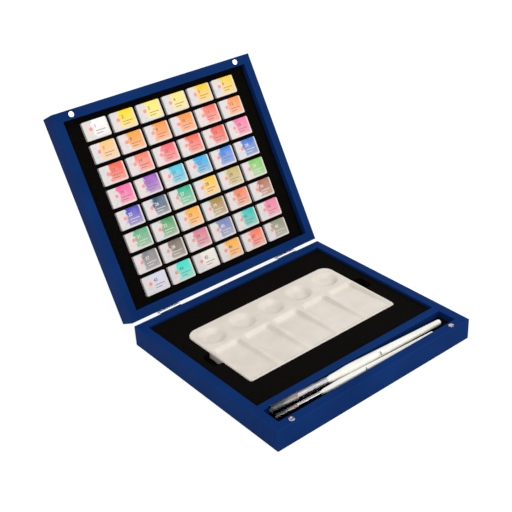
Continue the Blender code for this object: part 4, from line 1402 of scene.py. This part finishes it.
def ferrule_shape(brush, place):
    """A drawn metal tube with a rolled mouth and two crimps, whose grooves take a near-black metal as painted
    shade.
    """
    radius, start, end = stations(brush + "_ferrule", place)
    settings = settings_of("brushes")
    wall = radius * 0.12
    lip = wall * 0.6
    depth = radius * settings.crimp_depth
    profile = [(radius, end)]
    for station in (1, 2.2):
        centre = end - settings.crimp_pitch * station
        for way, share in ((1.4, 0), (0.8, 1), (-0.8, 1), (-1.4, 0)):
            profile.append((radius - depth * share, centre + settings.crimp_width / 2 * way))
    profile += [(radius, start + lip), (radius - lip / 2, start), (radius - wall, start)]
    profile += [(radius - wall - depth, start + lip), (radius - wall - depth, end)]
    shape = lathe(profile, settings.steps, closed=True)
    # The crimps' groove faces get the second, near-black material: painted shade in the grooves.
    for face in shape.faces:
        middle = face.calc_center_median()
        reach = middle.xy.length
        grooved = radius - wall - depth / 2 < reach < radius - depth * 0.3
        if grooved and middle.z > start + lip * 2:
            face.material_index = 1
    return shape


def cap_shape(brush, place):
    """A clear tube with fire-polished, rounded ends."""
    low, high = corners_of([brush + "_cap"], place)
    radius, start, end = high.x, low.z, high.z
    inner = radius - settings_of("brushes").cap_wall
    lip = (radius - inner) / 2
    middle = (radius + inner) / 2
    profile = arc((middle, end - lip), lip, 0, 180, 6)
    profile += arc((middle, start + lip), lip, 180, 360, 6)
    return lathe(profile, settings_of("brushes").steps, closed=True)


def strand_mesh():
    """One straight hair of unit length and thickness, cut where it will bend."""
    template = bmesh.new()
    bmesh.ops.create_cone(template, cap_ends=True, segments=4, radius1=1, radius2=0.25, depth=1)
    bmesh.ops.translate(template, verts=template.verts, vec=(0, 0, 0.5))
    for share in (0.15, 0.3, 0.45, 0.6, 0.75, 0.9):
        geometry = template.verts[:] + template.edges[:] + template.faces[:]
        bmesh.ops.bisect_plane(template, geom=geometry, plane_co=(0, 0, share), plane_no=(0, 0, 1))
    strand = bpy.data.meshes.new("strand")
    template.to_mesh(strand)
    template.free()
    return strand


def hair_shape(brush, place, count, seed):
    """A pointed tuft of fine hairs. Each keeps its share of the tuft's radius, so none cross."""
    low, high = corners_of([brush + "_hair"], place)
    ferrule_radius = corners_of([brush + "_ferrule"], place)[1].x
    root_radius = ferrule_radius * 0.84
    root, tip = high.z, low.z
    span = root - tip
    chance = random.Random(seed)
    strand = strand_mesh()
    shape = bmesh.new()
    layer = shape.loops.layers.uv.new("hair")
    thickness = root_radius / math.sqrt(count) * 0.8
    golden = math.pi * (3 - math.sqrt(5))
    for number in range(count):
        share = math.sqrt((number + 0.5) / count)
        turn = number * golden
        reach = 1 - 0.36 * share - chance.random() * 0.06
        tone = chance.random()
        sway = chance.uniform(-0.05, 0.05)
        known, faces = len(shape.verts), len(shape.faces)
        shape.from_mesh(strand)
        shape.verts.ensure_lookup_table()
        shape.faces.ensure_lookup_table()
        for corner in shape.verts[known:]:
            along = corner.co.z * reach
            swell = 1 + 0.16 * math.sin(math.pi * min(along / 0.6, 1))
            close = 1 if along < 0.3 else 1 - ((along - 0.3) / 0.7) ** 1.6 * 0.93
            radius = root_radius * share * swell * close
            side = turn + sway * along
            own = corner.co.xy * thickness * (1 - 0.5 * along)
            corner.co = (
                radius * math.cos(side) + own.x,
                radius * math.sin(side) + own.y,
                root - along * span,
            )
        for face in shape.faces[faces:]:
            for loop in face.loops:
                loop[layer].uv = (tone, (root - loop.vert.co.z) / span)
    bpy.data.meshes.remove(strand)
    bmesh.ops.recalc_face_normals(shape, faces=shape.faces)
    return shape


def size_mark(text, station, radius):
    """A flat figure wrapped round a handle's upper side. It reads towards the butt."""
    settings = settings_of("brushes")
    figures = label_number(text, settings.mark_height, settings.mark_thickness)
    low = min(v.co.x for v in figures.verts)
    for corner in figures.verts:
        along, around = corner.co.x - low, corner.co.y - settings.mark_height / 2
        turn = settings.mark_turn + around / radius
        reach = radius + corner.co.z
        corner.co = (reach * math.sin(turn), reach * math.cos(turn), station + along)
    bmesh.ops.recalc_face_normals(figures, faces=figures.faces)
    return figures


class WATERCOLOR_OT_brushes(bpy.types.Operator):
    """Two brushes: lacquered handle, chromed ferrule, hair and clear cap"""

    bl_idname = "watercolor.brushes"
    bl_label = "Capped Brushes"

    def execute(self, context):
        settings = settings_of("brushes")
        lacquer, hair, clear = pearl_lacquer(), brush_hair(), clear_plastic()
        chrome = metal("chromed_brass", "#B4AEAB", 0.12)
        # Near-black metal for the crimps' grooves: painted shade where the grooves turn away from the light.
        dull = metal("painted_shade_in_crimps", "#1C1917", 0.45)
        ink = pad_printing_ink()
        marks = (
            ("10", settings.large_mark_station, settings.large_mark_radius),
            ("6", settings.small_mark_station, settings.small_mark_radius),
        )
        for seed, brush in enumerate(("large_brush", "small_brush")):
            place = brush_place(brush)
            handle = handle_shape(brush, place)
            node = brush + "_handle"
            piece(node + "_turned", handle, [lacquer], brush, [node], place)
            node = brush + "_ferrule"
            shape = ferrule_shape(brush, place)
            piece(node + "_drawn", shape, [chrome, dull], brush, [node], place)
            node = brush + "_hair"
            shape = hair_shape(brush, place, settings.strands // (seed + 1), seed)
            piece(node + "_tuft", shape, [hair], brush, [node], place)
            node = brush + "_cap"
            shape = cap_shape(brush, place)
            piece(node + "_tube", shape, [clear], node, [node], place)
            figure, station, radius = marks[seed]
            shape = size_mark(figure, station, radius)
            piece(brush + "_size_mark", shape, [ink], brush, (), place)
        return {"FINISHED"}


# Stage

class StageSettings(bpy.types.PropertyGroup):
    floor_colour: colour("Floor", "Colour of the floor", "#FFFFFF")
    key_power: number("Key", "Power of the main lamp", 11.5, unit="POWER")
    fill_power: number("Fill", "Power of the upper lamp", 11.5, unit="POWER")
    room_level: number("Room", "Level of the room's even light", 0.68)
    shadow_share: number("Shadow", "How much of the shadow shows", 0.16, subtype="FACTOR")
    glow: number("Glow", "Light of the lit share of the floor", 1.08)
    view_azimuth: number("Azimuth", "Of the camera", math.radians(-37.85), subtype="ANGLE")
    view_elevation: number("Elevation", "Of the camera", math.radians(30.07), subtype="ANGLE")
    view_roll: number("Roll", "Of the camera", math.radians(-3.32), subtype="ANGLE")
    view_distance: length("Distance", "From the camera to its target", 1350.6 * MM)
    target: FloatVectorProperty(
        name="Target",
        description="Middle of the picture",
        default=(0.1758, 0.29195, -0.0927),
        subtype="XYZ",
        unit="LENGTH",
    )
    lens: number("Lens", "Focal length in millimetres on a 36 mm sensor", 69.97)


# Metres
KEY_SIZE = 1.2
KEY_PLACE = (0.95, -1.5, 0.85)
UPPER_SIZE = 1.5
UPPER_PLACE = (-0.3, -0.2, 1.9)
LIT_POINT = (0, 0, 0.05)
FLOOR_SIZE = 6
FLOOR_DROP = 0.2 * MM


def add_camera(settings):
    azimuth, elevation = settings.view_azimuth, settings.view_elevation
    back = Vector(
        (
            math.sin(azimuth) * math.cos(elevation),
            -math.cos(azimuth) * math.cos(elevation),
            math.sin(elevation),
        )
    )
    level = Vector((math.cos(azimuth), math.sin(azimuth), 0))
    upward = back.cross(level)
    roll = settings.view_roll
    right = math.cos(roll) * level + math.sin(roll) * upward
    up = math.cos(roll) * upward - math.sin(roll) * level
    lens = bpy.data.cameras.new("camera")
    lens.lens = settings.lens
    lens.sensor_width = 36
    camera = bpy.data.objects.new("camera", lens)
    bpy.context.scene.collection.objects.link(camera)
    turn = Matrix((right, up, back)).transposed().to_4x4()
    place = Vector(settings.target) + back * settings.view_distance
    camera.matrix_world = Matrix.Translation(place) @ turn
    bpy.context.scene.camera = camera


def add_lamp(name, power, size, place):
    """A square lamp that points at the box."""
    light = bpy.data.lights.new(name, "AREA")
    light.energy = power
    light.size = size
    lamp = bpy.data.objects.new(name, light)
    lamp.location = place
    lamp.rotation_euler = (Vector(LIT_POINT) - Vector(place)).to_track_quat("-Z", "Y").to_euler()
    bpy.context.scene.collection.objects.link(lamp)


def seen_rays(material):
    """One for rays that show the background itself: camera, glossy and transmission rays."""
    path = add_node(material, "ShaderNodeLightPath")
    camera, glossy = path.outputs["Is Camera Ray"], path.outputs["Is Glossy Ray"]
    seen = calculate(material, "ADD", camera, glossy, clamp=True)
    return calculate(material, "ADD", seen, path.outputs["Is Transmission Ray"], clamp=True)


def add_floor(settings):
    """A wide white floor that keeps a soft part of the shadow."""
    shape = bmesh.new()
    bmesh.ops.create_grid(shape, x_segments=1, y_segments=1, size=FLOOR_SIZE)
    mesh = bpy.data.meshes.new("floor")
    shape.to_mesh(mesh)
    shape.free()
    floor = bpy.data.objects.new("floor", mesh)
    floor.location.z = -FLOOR_DROP
    bpy.context.scene.collection.objects.link(floor)
    made, shader = new_material("matte_white_sweep")
    values = {
        "Base Color": settings.floor_colour,
        "Roughness": 0.9,
        "Specular IOR Level": 0.0,
    }
    set_values(shader, values)
    light = {"Color": settings.floor_colour, "Strength": settings.glow}
    glow = add_node(made, "ShaderNodeEmission", light)
    seen = seen_rays(made)
    share = calculate(made, "MULTIPLY", seen, 1 - settings.shadow_share)
    blend = add_node(made, "ShaderNodeMixShader", {0: share, 1: shader.outputs[0], 2: glow.outputs[0]})
    output = made.node_tree.nodes["Material Output"]
    made.node_tree.links.new(blend.outputs[0], output.inputs["Surface"])
    mesh.materials.append(made)


def light_room(settings):
    """An even white room, at full strength only where the background itself is seen."""
    world = bpy.data.worlds.new("studio")
    world.use_nodes = True
    bpy.context.scene.world = world
    background = world.node_tree.nodes["Background"]
    background.inputs["Color"].default_value = (1, 1, 1, 1)
    seen = seen_rays(world)
    spread = {"Value": seen, "To Min": settings.room_level, "To Max": 1.0}
    strength = add_node(world, "ShaderNodeMapRange", spread)
    world.node_tree.links.new(strength.outputs["Result"], background.inputs["Strength"])


class WATERCOLOR_OT_stage(bpy.types.Operator):
    """White floor, soft studio light and the photograph's camera"""

    bl_idname = "watercolor.stage"
    bl_label = "Studio Stage"

    def execute(self, context):
        settings = settings_of("stage")
        add_camera(settings)
        add_floor(settings)
        light_room(settings)
        add_lamp("key_lamp", settings.key_power, KEY_SIZE, KEY_PLACE)
        add_lamp("upper_lamp", settings.fill_power, UPPER_SIZE, UPPER_PLACE)
        context.scene.view_settings.view_transform = "Standard"
        return {"FINISHED"}


# Panel and registration

class WatercolorBoxSettings(bpy.types.PropertyGroup):
    case: PointerProperty(type=CaseSettings)
    foam: PointerProperty(type=FoamSettings)
    palette: PointerProperty(type=PaletteSettings)
    pans: PointerProperty(type=PanSettings)
    magnets: PointerProperty(type=MagnetSettings)
    hinges: PointerProperty(type=HingeSettings)
    brushes: PointerProperty(type=BrushSettings)
    stage: PointerProperty(type=StageSettings)


OPERATORS = (
    WATERCOLOR_OT_case,
    WATERCOLOR_OT_foam,
    WATERCOLOR_OT_palette,
    WATERCOLOR_OT_pans,
    WATERCOLOR_OT_magnets,
    WATERCOLOR_OT_hinges,
    WATERCOLOR_OT_brushes,
    WATERCOLOR_OT_stage,
)


class WATERCOLOR_PT_panel(bpy.types.Panel):
    """Lists the pieces of the watercolor box"""

    bl_idname = "WATERCOLOR_PT_panel"
    bl_label = "Watercolor Box"
    bl_space_type = "VIEW_3D"
    bl_region_type = "UI"
    bl_category = "Watercolor Box"

    def draw(self, context):
        settings = context.scene.watercolor_box
        for operator, group in zip(OPERATORS, type(settings).__annotations__):
            self.layout.operator(operator.bl_idname)
            for name in type(getattr(settings, group)).__annotations__:
                self.layout.prop(getattr(settings, group), name)


GROUPS = (
    CaseSettings,
    FoamSettings,
    PaletteSettings,
    PanSettings,
    MagnetSettings,
    HingeSettings,
    BrushSettings,
    StageSettings,
    WatercolorBoxSettings,
)


def register():
    for group in (*GROUPS, *OPERATORS, WATERCOLOR_PT_panel):
        bpy.utils.register_class(group)
    bpy.types.Scene.watercolor_box = PointerProperty(type=WatercolorBoxSettings)


def unregister():
    del bpy.types.Scene.watercolor_box
    for group in reversed((*GROUPS, *OPERATORS, WATERCOLOR_PT_panel)):
        bpy.utils.unregister_class(group)


def main():
    register()
    bpy.ops.watercolor.case()
    bpy.ops.watercolor.foam()
    bpy.ops.watercolor.palette()
    bpy.ops.watercolor.pans()
    bpy.ops.watercolor.magnets()
    bpy.ops.watercolor.hinges()
    bpy.ops.watercolor.brushes()
    bpy.ops.watercolor.stage()


if __name__ == "__main__":
    main()
